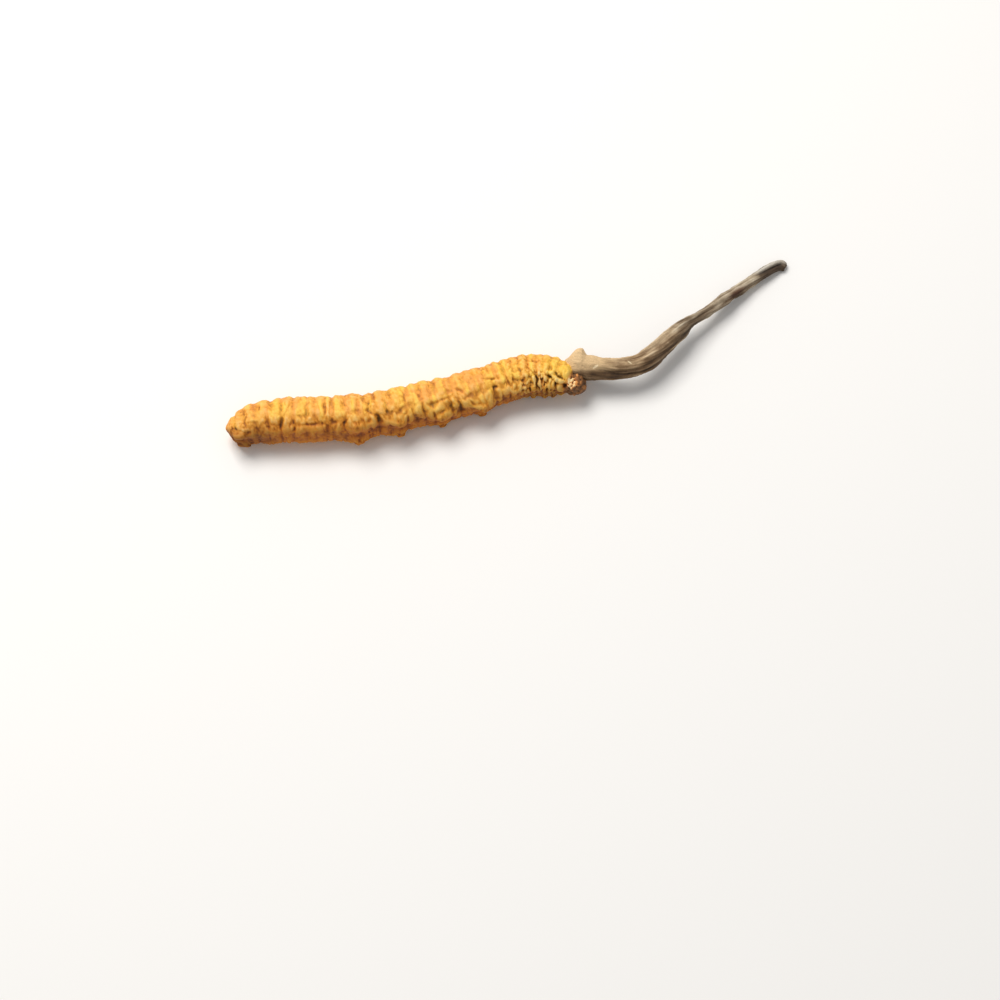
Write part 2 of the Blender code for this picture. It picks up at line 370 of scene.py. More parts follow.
@dataclass(frozen=True)
class DriedSkin:
    """Dried larva skin: leathery, matte with a faint waxy sheen, golden on the rolls and brown in the creases, the
    creases' brown partly painted shade.
    """

    # Pit, crease, golden side, crest and palest crest: place on the scale of relief, and colour. Partly the skin's
    # own colour, partly painted shade in pits and creases and painted light on crests.
    tones: tuple[tuple[float, str], ...] = (
        (0.0, "#52300e"), (0.24, "#ae681c"), (0.50, "#e69b35"), (0.70, "#f6b455"), (1.0, "#fbca7c"),
    )  # fmt: skip
    # The crumbs of the head, from the darkest to the palest.
    crumbs: tuple[tuple[float, str], ...] = (
        (0.0, "#2e1a10"), (0.25, "#6c4a2c"), (0.50, "#8f5c30"), (0.75, "#e89a50"), (1.0, "#fae2a8"),
    )  # fmt: skip
    # What lies over the tones, from the first laid: attribute, colour and largest share.
    tints: tuple[tuple[str, str, float], ...] = (
        ("rosy", "#ef9f50", 0.5),
        ("lemon", "#fdd24e", 0.7),
        ("cream", "#fbdc94", 0.85),
        # Painted shade in the belly's low folds and pits, and dark soles.
        ("dark_soles_and_shade", "#6a4216", 0.8),
        # Painted shade: near black in the gaps between teeth and under the thorax and the tail.
        ("gap_shade", "#472a12", 0.8),
    )
    # Painted shade: the lower flank and the belly are multiplied darker and browner, as if in shade.
    painted_belly_shade: tuple[float, float, float, float] = (0.60, 0.41, 0.09, 1.0)
    mottle_mm: float = 0.6
    pore_mm: float = 0.20
    pore_height_mm: float = 0.04
    # Fine brown lines run round the body, as where skin has shrunk. Their noise is stretched that way.
    line_mm: float = 0.30
    line_scale: Place = (1.0, 0.24, 0.24)
    # Two values of a noise, and the two that they turn to.
    mottling: Range = (0.3, 0.7, -0.11, 0.11)
    shrinking: Range = (0.28, 0.45, -0.21, 0.0)
    tint_breaks: Range = (0.3, 0.6, 0.7, 1.0)
    specks: Range = (0.25, 0.75, 0.90, 1.08)
    dullness: Range = (0.3, 0.7, 0.52, 0.74)
    bump_strength: float = 0.9
    ior: float = 1.45
    specular: float = 0.35

    def build(self) -> bpy.types.Material:
        """Makes the material. Its patterns read the straight shape, so that they follow the body.

        Returns:
            The material.
        """
        material, tree = new_material("dried larva skin")
        grown = add(tree, "Attribute", out="Vector", attribute_name="grown")
        names = ("relief", "belly", "head", "tone", *(tint[0] for tint in self.tints))
        mask = {name: add(tree, "Attribute", out="Fac", attribute_name=name) for name in names}
        cells = {"Vector": grown, "Scale": 1 / self.mottle_mm, "Detail": 4.0, "Roughness": 0.6}
        mottle = add(tree, "TexNoise", cells)
        fine = add(tree, "TexNoise", {"Vector": grown, "Scale": 1 / self.pore_mm, "Detail": 3.0, "Roughness": 0.65})
        round_it = add(tree, "Mapping", {"Vector": grown, "Scale": self.line_scale})
        lines = add(tree, "TexNoise", {"Vector": round_it, "Scale": 1 / self.line_mm, "Detail": 2.0})
        uneven = add(tree, "MapRange", (mottle, *self.mottling))
        height = add(tree, "Math", (mask["relief"], uneven), operation="ADD")
        height = add(tree, "Math", (height, add(tree, "MapRange", (lines, *self.shrinking))), operation="ADD")
        # The relief ramp: the skin's tones, with painted shade in pits and creases and painted light on crests.
        colour = add(tree, "ValToRGB", (height,), stops=self.tones)
        broken = add(tree, "MapRange", (fine, *self.tint_breaks))
        for name, tint, most in self.tints:
            share = add(tree, "Math", (mask[name], broken), operation="MULTIPLY")
            share = add(tree, "Math", (share, most), operation="MULTIPLY")
            colour = add(tree, "Mix", {0: share, 6: colour, 7: linear(tint)}, 2, data_type="RGBA")
        # Painted shade over the lower flank and the belly.
        tinge = {0: 1.0, 6: colour, 7: self.painted_belly_shade}
        belly_in_painted_shade = add(tree, "Mix", tinge, 2, data_type="RGBA", blend_type="MULTIPLY")
        colour = add(tree, "Mix", {0: mask["belly"], 6: colour, 7: belly_in_painted_shade}, 2, data_type="RGBA")
        bits = add(tree, "Math", (mask["tone"], uneven), operation="ADD")
        crumbs = add(tree, "ValToRGB", (bits,), stops=self.crumbs)
        colour = add(tree, "Mix", {0: mask["head"], 6: colour, 7: crumbs}, 2, data_type="RGBA")
        speck = add(tree, "MapRange", (fine, *self.specks))
        grey = add(tree, "CombineColor", (speck, speck, speck))
        colour = add(tree, "Mix", {0: 1.0, 6: colour, 7: grey}, 2, data_type="RGBA", blend_type="MULTIPLY")
        rough = add(tree, "Math", (fine, lines), operation="ADD")
        pores = {"Strength": self.bump_strength, "Distance": self.pore_height_mm * MM, "Height": rough}
        surface = {
            "Base Color": colour,
            "Roughness": add(tree, "MapRange", (mottle, *self.dullness)),
            "Normal": add(tree, "Bump", pores),
            "IOR": self.ior,
            "Specular IOR Level": self.specular,
        }
        close_off(tree, surface)
        return material


@dataclass(frozen=True)
class DriedStalk:
    """Dried fungus stalk: fibrous and matte, pale tan above and brown below and in its furrows, partly its own colour
    and partly painted light and shade, and pale grey to the tip.
    """

    # Furrow, brown, umber, tan and palest ridge: place on the scale of relief, and colour. Partly the stalk's own
    # colour, partly painted light on its top and ridges and painted shade in its furrows.
    tones: tuple[tuple[float, str], ...] = (
        (0.0, "#33251a"), (0.25, "#604830"), (0.50, "#866b4d"), (0.75, "#b99d79"), (1.0, "#dcc29c"),
    )  # fmt: skip
    # What lies over the tones, from the first laid: attribute and colour.
    tints: tuple[tuple[str, str], ...] = (
        # Slate and ash are partly painted shade and painted highlight on the tip.
        ("foot", "#e2c192"), ("rust", "#6e4634"), ("slate_and_shade", "#43352a"), ("ash_and_highlight", "#d3d0c6"), ("flake", "#f8e4bc"),
    )  # fmt: skip
    # What the tan loses of its warmth on the upper stalk.
    greyed: tuple[float, float, float, float] = (0.92, 1.07, 1.32, 1.0)
    fibre_mm: float = 0.16
    fibre_height_mm: float = 0.05
    grain_mm: float = 0.14
    blotch_mm: float = 0.9
    # The noise of the fibres and of the blotches is stretched along the stalk.
    fibre_scale: Place = (0.22, 1.0, 1.0)
    blotch_scale: Place = (0.5, 1.0, 1.0)
    # Two values of a noise, and the two that they turn to.
    blotches: Range = (0.3, 0.7, -0.13, 0.13)
    tint_breaks: Range = (0.35, 0.6, 0.7, 1.0)
    specks: Range = (0.75, 1.25, 0.74, 1.14)
    bump_strength: float = 0.9
    roughness: float = 0.8
    ior: float = 1.45
    specular: float = 0.3

    def build(self) -> bpy.types.Material:
        """Makes the material. Its fibres run along the straight, untwisted shape.

        Returns:
            The material.
        """
        material, tree = new_material("dried fungus stalk")
        grown = add(tree, "Attribute", out="Vector", attribute_name="grown")
        names = ("relief", "greyed", *(tint[0] for tint in self.tints))
        mask = {name: add(tree, "Attribute", out="Fac", attribute_name=name) for name in names}
        drawn = add(tree, "Mapping", {"Vector": grown, "Scale": self.fibre_scale})
        fibre = add(tree, "TexNoise", {"Vector": drawn, "Scale": 1 / self.fibre_mm, "Detail": 4.0, "Roughness": 0.65})
        longer = add(tree, "Mapping", {"Vector": grown, "Scale": self.blotch_scale})
        cells = {"Vector": longer, "Scale": 1 / self.blotch_mm, "Detail": 5.0, "Roughness": 0.6}
        blotch = add(tree, "TexNoise", cells)
        grain = add(tree, "TexNoise", {"Vector": grown, "Scale": 1 / self.grain_mm, "Detail": 4.0, "Roughness": 0.7})
        uneven = add(tree, "MapRange", (blotch, *self.blotches))
        height = add(tree, "Math", (mask["relief"], uneven), operation="ADD")
        colour = add(tree, "ValToRGB", (height,), stops=self.tones)
        tinge = {0: 1.0, 6: colour, 7: self.greyed}
        greyer = add(tree, "Mix", tinge, 2, data_type="RGBA", blend_type="MULTIPLY")
        colour = add(tree, "Mix", {0: mask["greyed"], 6: colour, 7: greyer}, 2, data_type="RGBA")
        broken = add(tree, "MapRange", (blotch, *self.tint_breaks))
        for name, tint in self.tints:
            share = add(tree, "Math", (mask[name], broken), operation="MULTIPLY")
            colour = add(tree, "Mix", {0: share, 6: colour, 7: linear(tint)}, 2, data_type="RGBA")
        both = add(tree, "Math", (fibre, grain), operation="ADD")
        speck = add(tree, "MapRange", (both, *self.specks))
        grey = add(tree, "CombineColor", (speck, speck, speck))
        colour = add(tree, "Mix", {0: 1.0, 6: colour, 7: grey}, 2, data_type="RGBA", blend_type="MULTIPLY")
        fibres = {"Strength": self.bump_strength, "Distance": self.fibre_height_mm * MM, "Height": both}
        surface = {
            "Base Color": colour,
            "Roughness": self.roughness,
            "Normal": add(tree, "Bump", fibres),
            "IOR": self.ior,
            "Specular IOR Level": self.specular,
        }
        close_off(tree, surface)
        return material


@dataclass(frozen=True)
class PaintedFloor:
    """Matte white studio paint: it gives the eye a plain pale ground with soft shadows."""

    paint: str = "#f4f3f1"
    roughness: float = 0.9
    specular: float = 0.2

    def build(self) -> bpy.types.Material:
        """Makes the material.

        Returns:
            The material.
        """
        material, tree = new_material("matte studio paint")
        surface = {"Base Color": linear(self.paint), "Roughness": self.roughness, "Specular IOR Level": self.specular}
        close_off(tree, surface)
        return material


def select_faces(piece: bpy.types.Object, chosen: Any) -> int:
    """Selects in edit mode the faces that a test picks, and nothing else.

    Args:
        piece: the object in edit mode.
        chosen: takes a face's middle and says whether it is picked.

    Returns:
        How many were picked.
    """
    mesh = bmesh.from_edit_mesh(piece.data)
    for face in mesh.faces:
        face.select_set(False)
    picked = [face for face in mesh.faces if chosen(face.calc_center_median())]
    for face in picked:
        face.select_set(True)
    mesh.select_flush_mode()
    bmesh.update_edit_mesh(piece.data)
    return len(picked)


def selected_middle(piece: bpy.types.Object) -> Vector:
    """Finds the middle of what is selected.

    Args:
        piece: the object in edit mode.

    Returns:
        The mean of the selected vertices.
    """
    mesh = bmesh.from_edit_mesh(piece.data)
    spots = [v.co for v in mesh.verts if v.select]
    return sum(spots, Vector()) / len(spots)


def straight_tube(name: str, stations: list[float], radii: list[float], sides: int) -> bpy.types.Object:
    """Models a closed straight tube by extruding one end ring after another.

    Args:
        name: the piece's name.
        stations: distance of each ring along +X, the two tips first and last.
        radii: radius of each ring; those of the two tips aren't read.
        sides: faces round the tube.

    Returns:
        The piece, in object mode.
    """
    bpy.ops.object.select_all(action="DESELECT")
    bpy.ops.mesh.primitive_circle_add(
        vertices=sides,
        radius=radii[1],
        fill_type="NOTHING",
        location=(stations[1], 0, 0),
        rotation=(0, math.radians(90), 0),
    )
    piece = bpy.context.object
    piece.name = name
    bpy.ops.object.transform_apply(location=True, rotation=True, scale=True)
    bpy.ops.object.mode_set(mode="EDIT")
    bpy.ops.mesh.select_mode(type="EDGE")
    bpy.ops.mesh.select_all(action="SELECT")
    for i in range(2, len(stations) - 1):
        bpy.ops.mesh.extrude_region_move(TRANSFORM_OT_translate={"value": (stations[i] - stations[i - 1], 0, 0)})
        size = radii[i] / radii[i - 1]
        bpy.ops.transform.resize(value=(1, size, size), center_override=(stations[i], 0, 0))
    bpy.ops.mesh.extrude_region_move(TRANSFORM_OT_translate={"value": (stations[-1] - stations[-2], 0, 0)})
    bpy.ops.mesh.merge(type="CENTER")
    mesh = bmesh.from_edit_mesh(piece.data)
    for edge in mesh.edges:
        edge.select_set(edge.is_boundary)
    bmesh.update_edit_mesh(piece.data)
    bpy.ops.mesh.extrude_region_move(TRANSFORM_OT_translate={"value": (stations[0] - stations[1], 0, 0)})
    bpy.ops.mesh.merge(type="CENTER")
    bpy.ops.mesh.select_mode(type="FACE")
    bpy.ops.mesh.select_all(action="SELECT")
    bpy.ops.mesh.normals_make_consistent(inside=False)
    bpy.ops.object.mode_set(mode="OBJECT")
    return piece


def smooth_out(piece: bpy.types.Object, levels: int) -> None:
    """Rounds a cage off with an applied Subdivision Surface.

    Args:
        piece: the object.
        levels: how many times it is divided.
    """
    bpy.context.view_layer.objects.active = piece
    modifier = piece.modifiers.new("rounded skin", "SUBSURF")
    modifier.levels = levels
    modifier.render_levels = levels
    bpy.ops.object.modifier_apply(modifier=modifier.name)


def read_points(piece: bpy.types.Object) -> np.ndarray:
    """Reads where the piece's vertices are.

    Args:
        piece: the object.

    Returns:
        Three numbers a vertex.
    """
    flat = np.empty(len(piece.data.vertices) * 3, np.float32)
    piece.data.vertices.foreach_get("co", flat)
    return flat.reshape(-1, 3).astype(float)


def read_edges(piece: bpy.types.Object) -> np.ndarray:
    """Reads which vertices the piece's edges join.

    Args:
        piece: the object.

    Returns:
        The numbers of the two vertices of each edge.
    """
    flat = np.empty(len(piece.data.edges) * 2, np.int32)
    piece.data.edges.foreach_get("vertices", flat)
    return flat.reshape(-1, 2)


def put_down(piece: bpy.types.Object, places: np.ndarray) -> None:
    """Moves the piece's vertices to their places in the frame, none of them under the floor.

    Args:
        piece: the object.
        places: points in the middle lines' millimetres.
    """
    places[:, 2] = np.maximum(places[:, 2], 0.0)
    piece.data.vertices.foreach_set("co", ((places - CENTRE) * MM).astype(np.float32).ravel())
    piece.data.update()


def keep(piece: bpy.types.Object, values: dict[str, np.ndarray]) -> None:
    """Stores values on the vertices, for the materials.

    Args:
        piece: the object.
        values: attribute name to one number a vertex, which is clipped to 0 to 1, or to three.
    """
    for name, value in values.items():
        if value.ndim == 2:
            made = piece.data.attributes.new(name, "FLOAT_VECTOR", "POINT")
            made.data.foreach_set("vector", value.astype(np.float32).ravel())
        else:
            made = piece.data.attributes.new(name, "FLOAT", "POINT")
            made.data.foreach_set("value", np.clip(value, 0.0, 1.0).astype(np.float32))


def finish(piece: bpy.types.Object, material: bpy.types.Material, node: str) -> None:
    """Shades a piece, gives it its material and tells the frame what it stands for.

    Args:
        piece: the object.
        material: what it is made of.
        node: the CAD node that it replaces.
    """
    bpy.ops.object.select_all(action="DESELECT")
    piece.select_set(True)
    bpy.context.view_layer.objects.active = piece
    bpy.ops.object.shade_smooth()
    piece.data.materials.clear()
    piece.data.materials.append(material)
    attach(piece, "root")
    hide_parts(node)
    LOG.info("%s: %d faces", piece.name, len(piece.data.polygons))


class Leg(Enum):
    """The kinds of leg on the larva."""

    TRUE = "true leg"
    PROLEG = "proleg"
    TAIL = "tail proleg"


@dataclass(frozen=True)
class LegPair:
    """One pair of legs: its kind, station, half angle between the two, half sizes of its root, its reach and how
    far it leans towards the head."""

    kind: Leg
    station: float
    off_belly: float
    half_along: float
    half_round: float
    reach: float
    lean: float


@dataclass
class Skin:
    """The points of the straight body: where each lies, how its pattern is warped and its marks astray, and how
    far it belongs to each part, from 0 to 1."""

    grown: np.ndarray
    angle: np.ndarray
    radius: np.ndarray
    out: np.ndarray
    plain: np.ndarray
    belly: np.ndarray
    warp: np.ndarray
    stray: np.ndarray
    leg: np.ndarray
    full: np.ndarray
    head: np.ndarray
    tail: np.ndarray
    thorax: np.ndarray
    flank: np.ndarray
    crumpled: np.ndarray
    breast: np.ndarray
    pads: np.ndarray
    soles: np.ndarray


class Form(Enum):
    """The forms that the relief of dried skin takes."""

    SWELLING = "soft swellings"
    FOLD = "rolls parted by folds"
    LUMP = "round lumps"


@dataclass(frozen=True)
class Layer:
    """One layer of relief: its form, how many of it a millimetre holds along and round the body, its seed, its
    mean level, how far its pattern is warped, and its height everywhere and, added to that, on each part."""

    form: Form
    along: float
    round_it: float
    seed: int
    level: float = 0.0
    warped: float = 0.0
    everywhere: float = 0.0
    flank: float = 0.0
    crumpled: float = 0.0
    pads: float = 0.0
    thorax: float = 0.0
    breast: float = 0.0
    tail: float = 0.0
    head: float = 0.0

    def place(self, skin: Skin) -> np.ndarray:
        """The skin's points in cells of the layer's pattern."""
        return (skin.grown + self.warped * skin.warp) * (self.along, self.round_it, self.round_it)

    def height(self, skin: Skin) -> np.ndarray:
        """Works out the layer's relief.

        Args:
            skin: the points of the straight body.

        Returns:
            Its height at each point, in millimetres.
        """
        forms = {Form.SWELLING: soft_noise, Form.FOLD: soft_folds, Form.LUMP: round_lumps}
        parts = ("flank", "crumpled", "pads", "thorax", "breast", "tail", "head")
        most = self.everywhere + sum(getattr(self, part) * getattr(skin, part) for part in parts)
        return (forms[self.form](self.place(skin), self.seed) - self.level) * most


@dataclass
class Larva:
    """The mummified larva: a ringed body with its head, legs and prolegs, grown as one."""

    # x, y, height, half thickness in millimetres, and the direction the belly faces.
    middle: Rows = (
        (-34.70, -10.50, 2.15, 0.00, 178), (-34.02, -10.46, 2.20, 1.20, 178), (-33.14, -10.43, 2.30, 1.74, 178),
        (-32.16, -10.16, 2.45, 2.36, 178), (-30.31, -9.76, 2.60, 2.78, 177), (-27.97, -9.58, 2.65, 2.88, 175),
        (-24.40, -9.51, 2.65, 2.90, 173), (-20.59, -9.31, 2.65, 2.86, 172), (-17.02, -8.84, 2.65, 2.86, 174),
        (-13.46, -8.03, 2.65, 2.88, 181), (-10.14, -7.21, 2.65, 2.90, 187), (-7.06, -6.47, 2.65, 2.92, 191),
        (-4.59, -5.72, 2.65, 2.90, 194), (-2.11, -4.90, 2.65, 2.92, 195), (0.37, -4.02, 2.65, 2.88, 192),
        (2.60, -3.54, 2.65, 2.76, 189), (4.71, -3.47, 2.65, 2.66, 187), (6.32, -3.77, 2.70, 2.46, 186),
        (7.43, -4.25, 2.72, 1.96, 186), (8.66, -4.88, 2.75, 1.48, 186), (9.38, -5.32, 2.75, 0.98, 186),
        (9.77, -5.56, 2.75, 0.00, 186),
    )  # fmt: skip
    # Station and depth of each crease between two rolls of skin.
    creases: Rows = (
        (1.50, 0.06), (2.75, 0.22), (3.95, 0.12), (5.60, 0.24), (7.15, 0.36), (8.65, 0.22), (10.25, 0.22),
        (11.35, 0.12), (12.65, 0.34), (13.35, 0.28), (14.80, 0.14), (16.55, 0.24), (17.85, 0.36), (18.75, 0.14),
        (20.00, 0.22), (22.25, 0.38), (23.40, 0.20), (24.50, 0.22), (25.60, 0.24), (27.70, 0.34), (28.80, 0.32),
        (30.40, 0.14), (31.90, 0.24), (33.25, 0.36), (34.10, 0.22), (35.10, 0.14), (36.20, 0.34), (37.15, 0.14),
        (38.15, 0.22), (39.15, 0.32), (40.00, 0.16), (40.90, 0.34), (41.75, 0.16), (42.50, 0.30), (43.45, 0.34),
    )  # fmt: skip
    # Station and depth of the notches that part the bulges of the back, and how much thinner the back is there.
    notches: Rows = (
        (4.30, 0.16), (6.00, 0.20), (7.30, 0.10), (8.50, 0.14), (9.40, 0.12), (11.10, 0.12), (13.30, 0.16),
        (15.20, 0.10), (17.40, 0.28), (18.55, 0.16), (20.60, 0.24), (22.90, 0.28), (24.20, 0.18), (26.20, 0.26),
        (28.30, 0.28), (29.90, 0.14), (31.30, 0.16), (32.60, 0.20), (35.00, 0.18), (37.00, 0.10), (38.30, 0.08),
        (40.90, 0.12), (42.00, 0.14),
    )  # fmt: skip
    thinned: Rows = (
        (0.8, 0.0), (2.2, 0.22), (6.0, 0.26), (7.2, 0.03), (16.0, 0.02), (17.5, 0.18), (30.0, 0.26), (36.0, 0.22),
        (37.5, 0.05), (41.0, 0.05), (42.0, 0.16), (43.5, 0.05),
    )  # fmt: skip
    # Direction, half width and height of the lengthwise folds (below 0) and rolls of the sides.
    side_folds: Rows = (
        (124.0, 11.0, -0.07), (256.0, 11.0, -0.12), (143.0, 12.0, 0.06), (239.0, 12.0, 0.10),
    )  # fmt: skip
    # What marks this specimen: station, direction, half length and half width (mm), height (below 0 for a pit or
    # a fold) and the turn of its length, 0 along the body and 90 round it.
    lobes: Rows = (
        (0.60, 112, 0.35, 0.30, 0.10, 0), (1.50, 143, 0.34, 0.28, 0.26, 20), (2.60, 128, 0.30, 0.20, 0.10, 0),
        (3.80, 106, 0.60, 0.14, 0.08, 10), (7.75, 116, 0.50, 0.16, 0.08, 90), (8.50, 134, 0.42, 0.18, 0.13, 90),
        (9.90, 118, 1.20, 0.50, 0.11, 0), (11.20, 138, 1.30, 0.45, 0.10, 0), (15.40, 116, 1.20, 0.60, 0.08, -8),
        (18.15, 124, 0.50, 0.18, 0.14, 60), (20.40, 145, 0.55, 0.40, 0.16, 0), (21.40, 152, 0.45, 0.30, 0.20, 0),
        (25.60, 107, 1.50, 0.50, 0.16, -22), (25.60, 135, 0.50, 0.40, 0.13, 0), (26.60, 150, 0.75, 0.34, 0.20, -10),
        (24.60, 128, 0.40, 0.35, 0.11, 0), (28.30, 124, 0.50, 0.24, 0.14, 70), (30.60, 108, 1.00, 0.60, 0.12, -15),
        (30.10, 134, 0.60, 0.40, 0.12, 0), (30.95, 156, 0.95, 0.26, 0.24, 6), (31.60, 134, 0.45, 0.35, 0.14, 60),
        (34.60, 112, 0.60, 0.30, 0.10, 0), (35.10, 138, 0.50, 0.28, 0.12, 60), (37.20, 146, 0.40, 0.24, 0.16, 30),
        (38.53, 150, 0.34, 0.28, 0.34, 90), (38.80, 126, 0.42, 0.17, 0.22, 90), (39.55, 128, 0.45, 0.14, 0.20, 90),
        (39.80, 152, 0.42, 0.24, 0.26, 80), (40.35, 124, 0.38, 0.30, 0.26, 40), (41.23, 143, 0.46, 0.36, 0.38, 80),
        (41.43, 162, 0.42, 0.28, 0.30, 10), (42.52, 124, 0.80, 0.34, 0.44, 0), (42.98, 150, 0.70, 0.34, 0.42, 50),
        (42.70, 82, 0.62, 0.70, 0.22, 60), (40.15, 101, 0.85, 0.55, 0.10, 0), (38.50, 86, 0.60, 0.80, 0.09, 0),
        (41.30, 186, 0.48, 0.30, 0.24, 0), (43.20, 198, 0.42, 0.28, 0.24, 0), (40.30, 172, 0.42, 0.26, 0.26, 60),
        (38.90, 174, 0.42, 0.30, 0.22, 0), (42.20, 174, 0.44, 0.28, 0.28, 20), (37.60, 162, 0.40, 0.30, 0.18, 30),
    )  # fmt: skip
    pits: Rows = (
        (0.95, 135, 0.24, 0.22, -0.15, 0), (2.10, 144, 0.26, 0.30, -0.22, 40), (2.99, 138, 0.24, 0.26, -0.18, 0),
        (3.95, 113, 0.60, 0.15, -0.07, 10), (5.60, 131, 0.55, 0.27, -0.08, 30), (7.30, 116, 0.60, 0.17, -0.13, 90),
        (8.85, 138, 0.32, 0.17, -0.12, 90), (10.40, 127, 1.40, 0.20, -0.11, -4), (11.60, 116, 0.42, 0.18, -0.11, 90),
        (12.68, 140, 0.50, 0.20, -0.16, 90), (13.18, 92, 1.20, 0.09, -0.08, 90), (13.60, 92, 1.10, 0.09, -0.08, 92),
        (14.10, 124, 0.90, 0.22, -0.07, 10), (15.60, 130, 0.90, 0.30, -0.12, -10), (16.78, 82, 0.60, 0.11, -0.07, 90),
        (18.15, 96, 0.45, 0.12, -0.11, 90), (18.55, 101, 0.32, 0.11, -0.08, 90), (18.90, 138, 0.45, 0.34, -0.16, 70),
        (17.55, 132, 0.35, 0.24, -0.12, 90), (21.80, 119, 1.10, 0.32, -0.16, -30),
        (22.96, 106, 0.60, 0.45, -0.11, 20), (23.05, 133, 0.60, 0.28, -0.15, 75), (24.15, 94, 0.32, 0.18, -0.32, 80),
        (26.60, 118, 1.30, 0.17, -0.15, -10), (27.95, 97, 0.45, 0.19, -0.20, 52), (29.05, 101, 0.50, 0.20, -0.28, 50),
        (29.40, 108, 0.36, 0.16, -0.16, 62), (28.75, 134, 0.60, 0.20, -0.18, 70), (32.85, 93, 0.80, 0.12, -0.20, 22),
        (33.54, 98, 0.24, 0.20, -0.28, 0), (33.54, 122, 0.27, 0.23, -0.34, 0), (35.95, 118, 0.48, 0.15, -0.26, 90),
        (36.90, 92, 0.27, 0.19, -0.14, 90), (38.15, 154, 0.40, 0.14, -0.26, 90), (39.20, 132, 0.70, 0.11, -0.28, 90),
        (39.95, 132, 0.45, 0.10, -0.20, 90), (40.40, 144, 0.42, 0.14, -0.30, 90), (41.13, 117, 0.34, 0.20, -0.34, 30),
        (41.90, 106, 0.38, 0.14, -0.30, 35), (42.32, 112, 0.60, 0.11, -0.22, 5), (42.12, 137, 0.45, 0.15, -0.34, 70),
        (43.42, 140, 0.34, 0.26, -0.34, 60), (42.20, 162, 0.42, 0.14, -0.28, 70), (40.80, 160, 0.34, 0.14, -0.26, 90),
        (41.10, 93, 0.50, 0.16, -0.12, 60), (18.70, 160, 0.85, 0.60, -0.28, 0), (23.40, 161, 0.90, 0.70, -0.38, 0),
        (28.90, 163, 0.90, 0.70, -0.38, 0), (34.60, 168, 1.00, 0.80, -0.25, 0),
    )  # fmt: skip
    legs: tuple[LegPair, ...] = (
        LegPair(Leg.TAIL, 1.75, 34.0, 0.62, 0.50, 0.34, -0.40),
        LegPair(Leg.PROLEG, 16.20, 33.0, 0.62, 0.60, 0.38, 0.0),
        LegPair(Leg.PROLEG, 21.20, 33.0, 0.62, 0.60, 0.38, 0.05),
        LegPair(Leg.PROLEG, 26.40, 31.0, 0.62, 0.60, 0.38, 0.05),
        LegPair(Leg.PROLEG, 31.60, 29.0, 0.62, 0.60, 0.38, 0.05),
        LegPair(Leg.TRUE, 38.70, 36.0, 0.50, 0.50, 0.34, 0.12),
        LegPair(Leg.TRUE, 40.40, 36.0, 0.50, 0.50, 0.34, 0.18),
        LegPair(Leg.TRUE, 42.00, 35.0, 0.50, 0.48, 0.32, 0.20),
    )
    # Soft swellings lie under everything. The flanks and the prolegs are puckered.
    layers: tuple[Layer, ...] = (
        Layer(Form.SWELLING, 0.42, 0.40, 5, everywhere=0.10, flank=0.16),
        Layer(Form.SWELLING, 1.3, 1.0, 15, everywhere=0.055),
        Layer(Form.SWELLING, 3.6, 1.4, 31, everywhere=0.020),
        Layer(Form.SWELLING, 2.6, 2.6, 41, everywhere=0.024),
        Layer(Form.FOLD, 2.6, 1.9, 43, 0.22, 0.3, everywhere=0.0924, flank=0.0748),
        Layer(Form.FOLD, 0.72, 0.60, 61, 0.22, 0.5, everywhere=0.09, crumpled=0.32),
        Layer(Form.FOLD, 1.5, 1.1, 67, 0.22, 0.4, everywhere=0.078, crumpled=0.126, thorax=0.12),
        Layer(Form.LUMP, 1.05, 1.0, 11, 0.7, 0.6, everywhere=0.016, crumpled=0.064, pads=0.08, thorax=0.12),
        Layer(Form.LUMP, 2.6, 2.3, 23, 0.7, 0.3, 0.0065, 0.0208, 0.0, 0.0325, 0.0455, 0.117, 0.10, 0.10),
        Layer(Form.LUMP, 1.1, 1.1, 37, 0.85, 0.4, head=0.34),
    )
    # The small round lumps that the breast is crumpled into, and the crumbs of head and tail.
    teeth: Layer = Layer(Form.LUMP, 1.28, 1.28, 17, 0.66, 0.45, breast=0.52)
    crumbs: Layer = Layer(Form.LUMP, 2.5, 2.5, 29, 0.78, 0.25, tail=0.10, head=0.34)

    # Stations between which each of these comes in or goes out.
    thorax_in: Span = (34.5, 38.5)
    thorax_out: Span = (43.2, 43.6)
    head_in: Span = (43.3, 43.7)
    tail_out: Span = (1.8, 4.2)
    lively_in: Span = (12.0, 19.0)
    calm_in: Span = (35.0, 38.5)
    # Half thicknesses between which rings and crumples reach their full height.
    ringed_mm: Span = (0.5, 2.0)
    full_mm: Span = (0.3, 1.6)
    # How far skin stands out of the plain body where it becomes a leg, and where it becomes a sole.
    leg_mm: Span = (0.06, 0.30)
    sole_mm: Span = (0.12, 0.25)
    # Middle and half width of each zone, in degrees from the middle of the belly.
    flank: Span = (47.0, 33.0)
    breast: Span = (54.0, 32.0)
    creased: Span = (55.0, 32.0)
    hollow: Span = (0.0, 20.0)
    # Degrees from the belly between which the back starts.
    back_in: Span = (62.0, 118.0)

    ring_share: float = 0.50
    roll_height: float = 0.10
    roll_level: float = 0.6
    hollow_depth: float = 0.20
    # How far a crease strays in long and in short waves, its least share where it fades, and its half width.
    crease_strays: Span = (0.13, 0.05)
    crease_least: float = 0.22
    crease_half_width: float = 0.20
    calm_share: float = 0.45
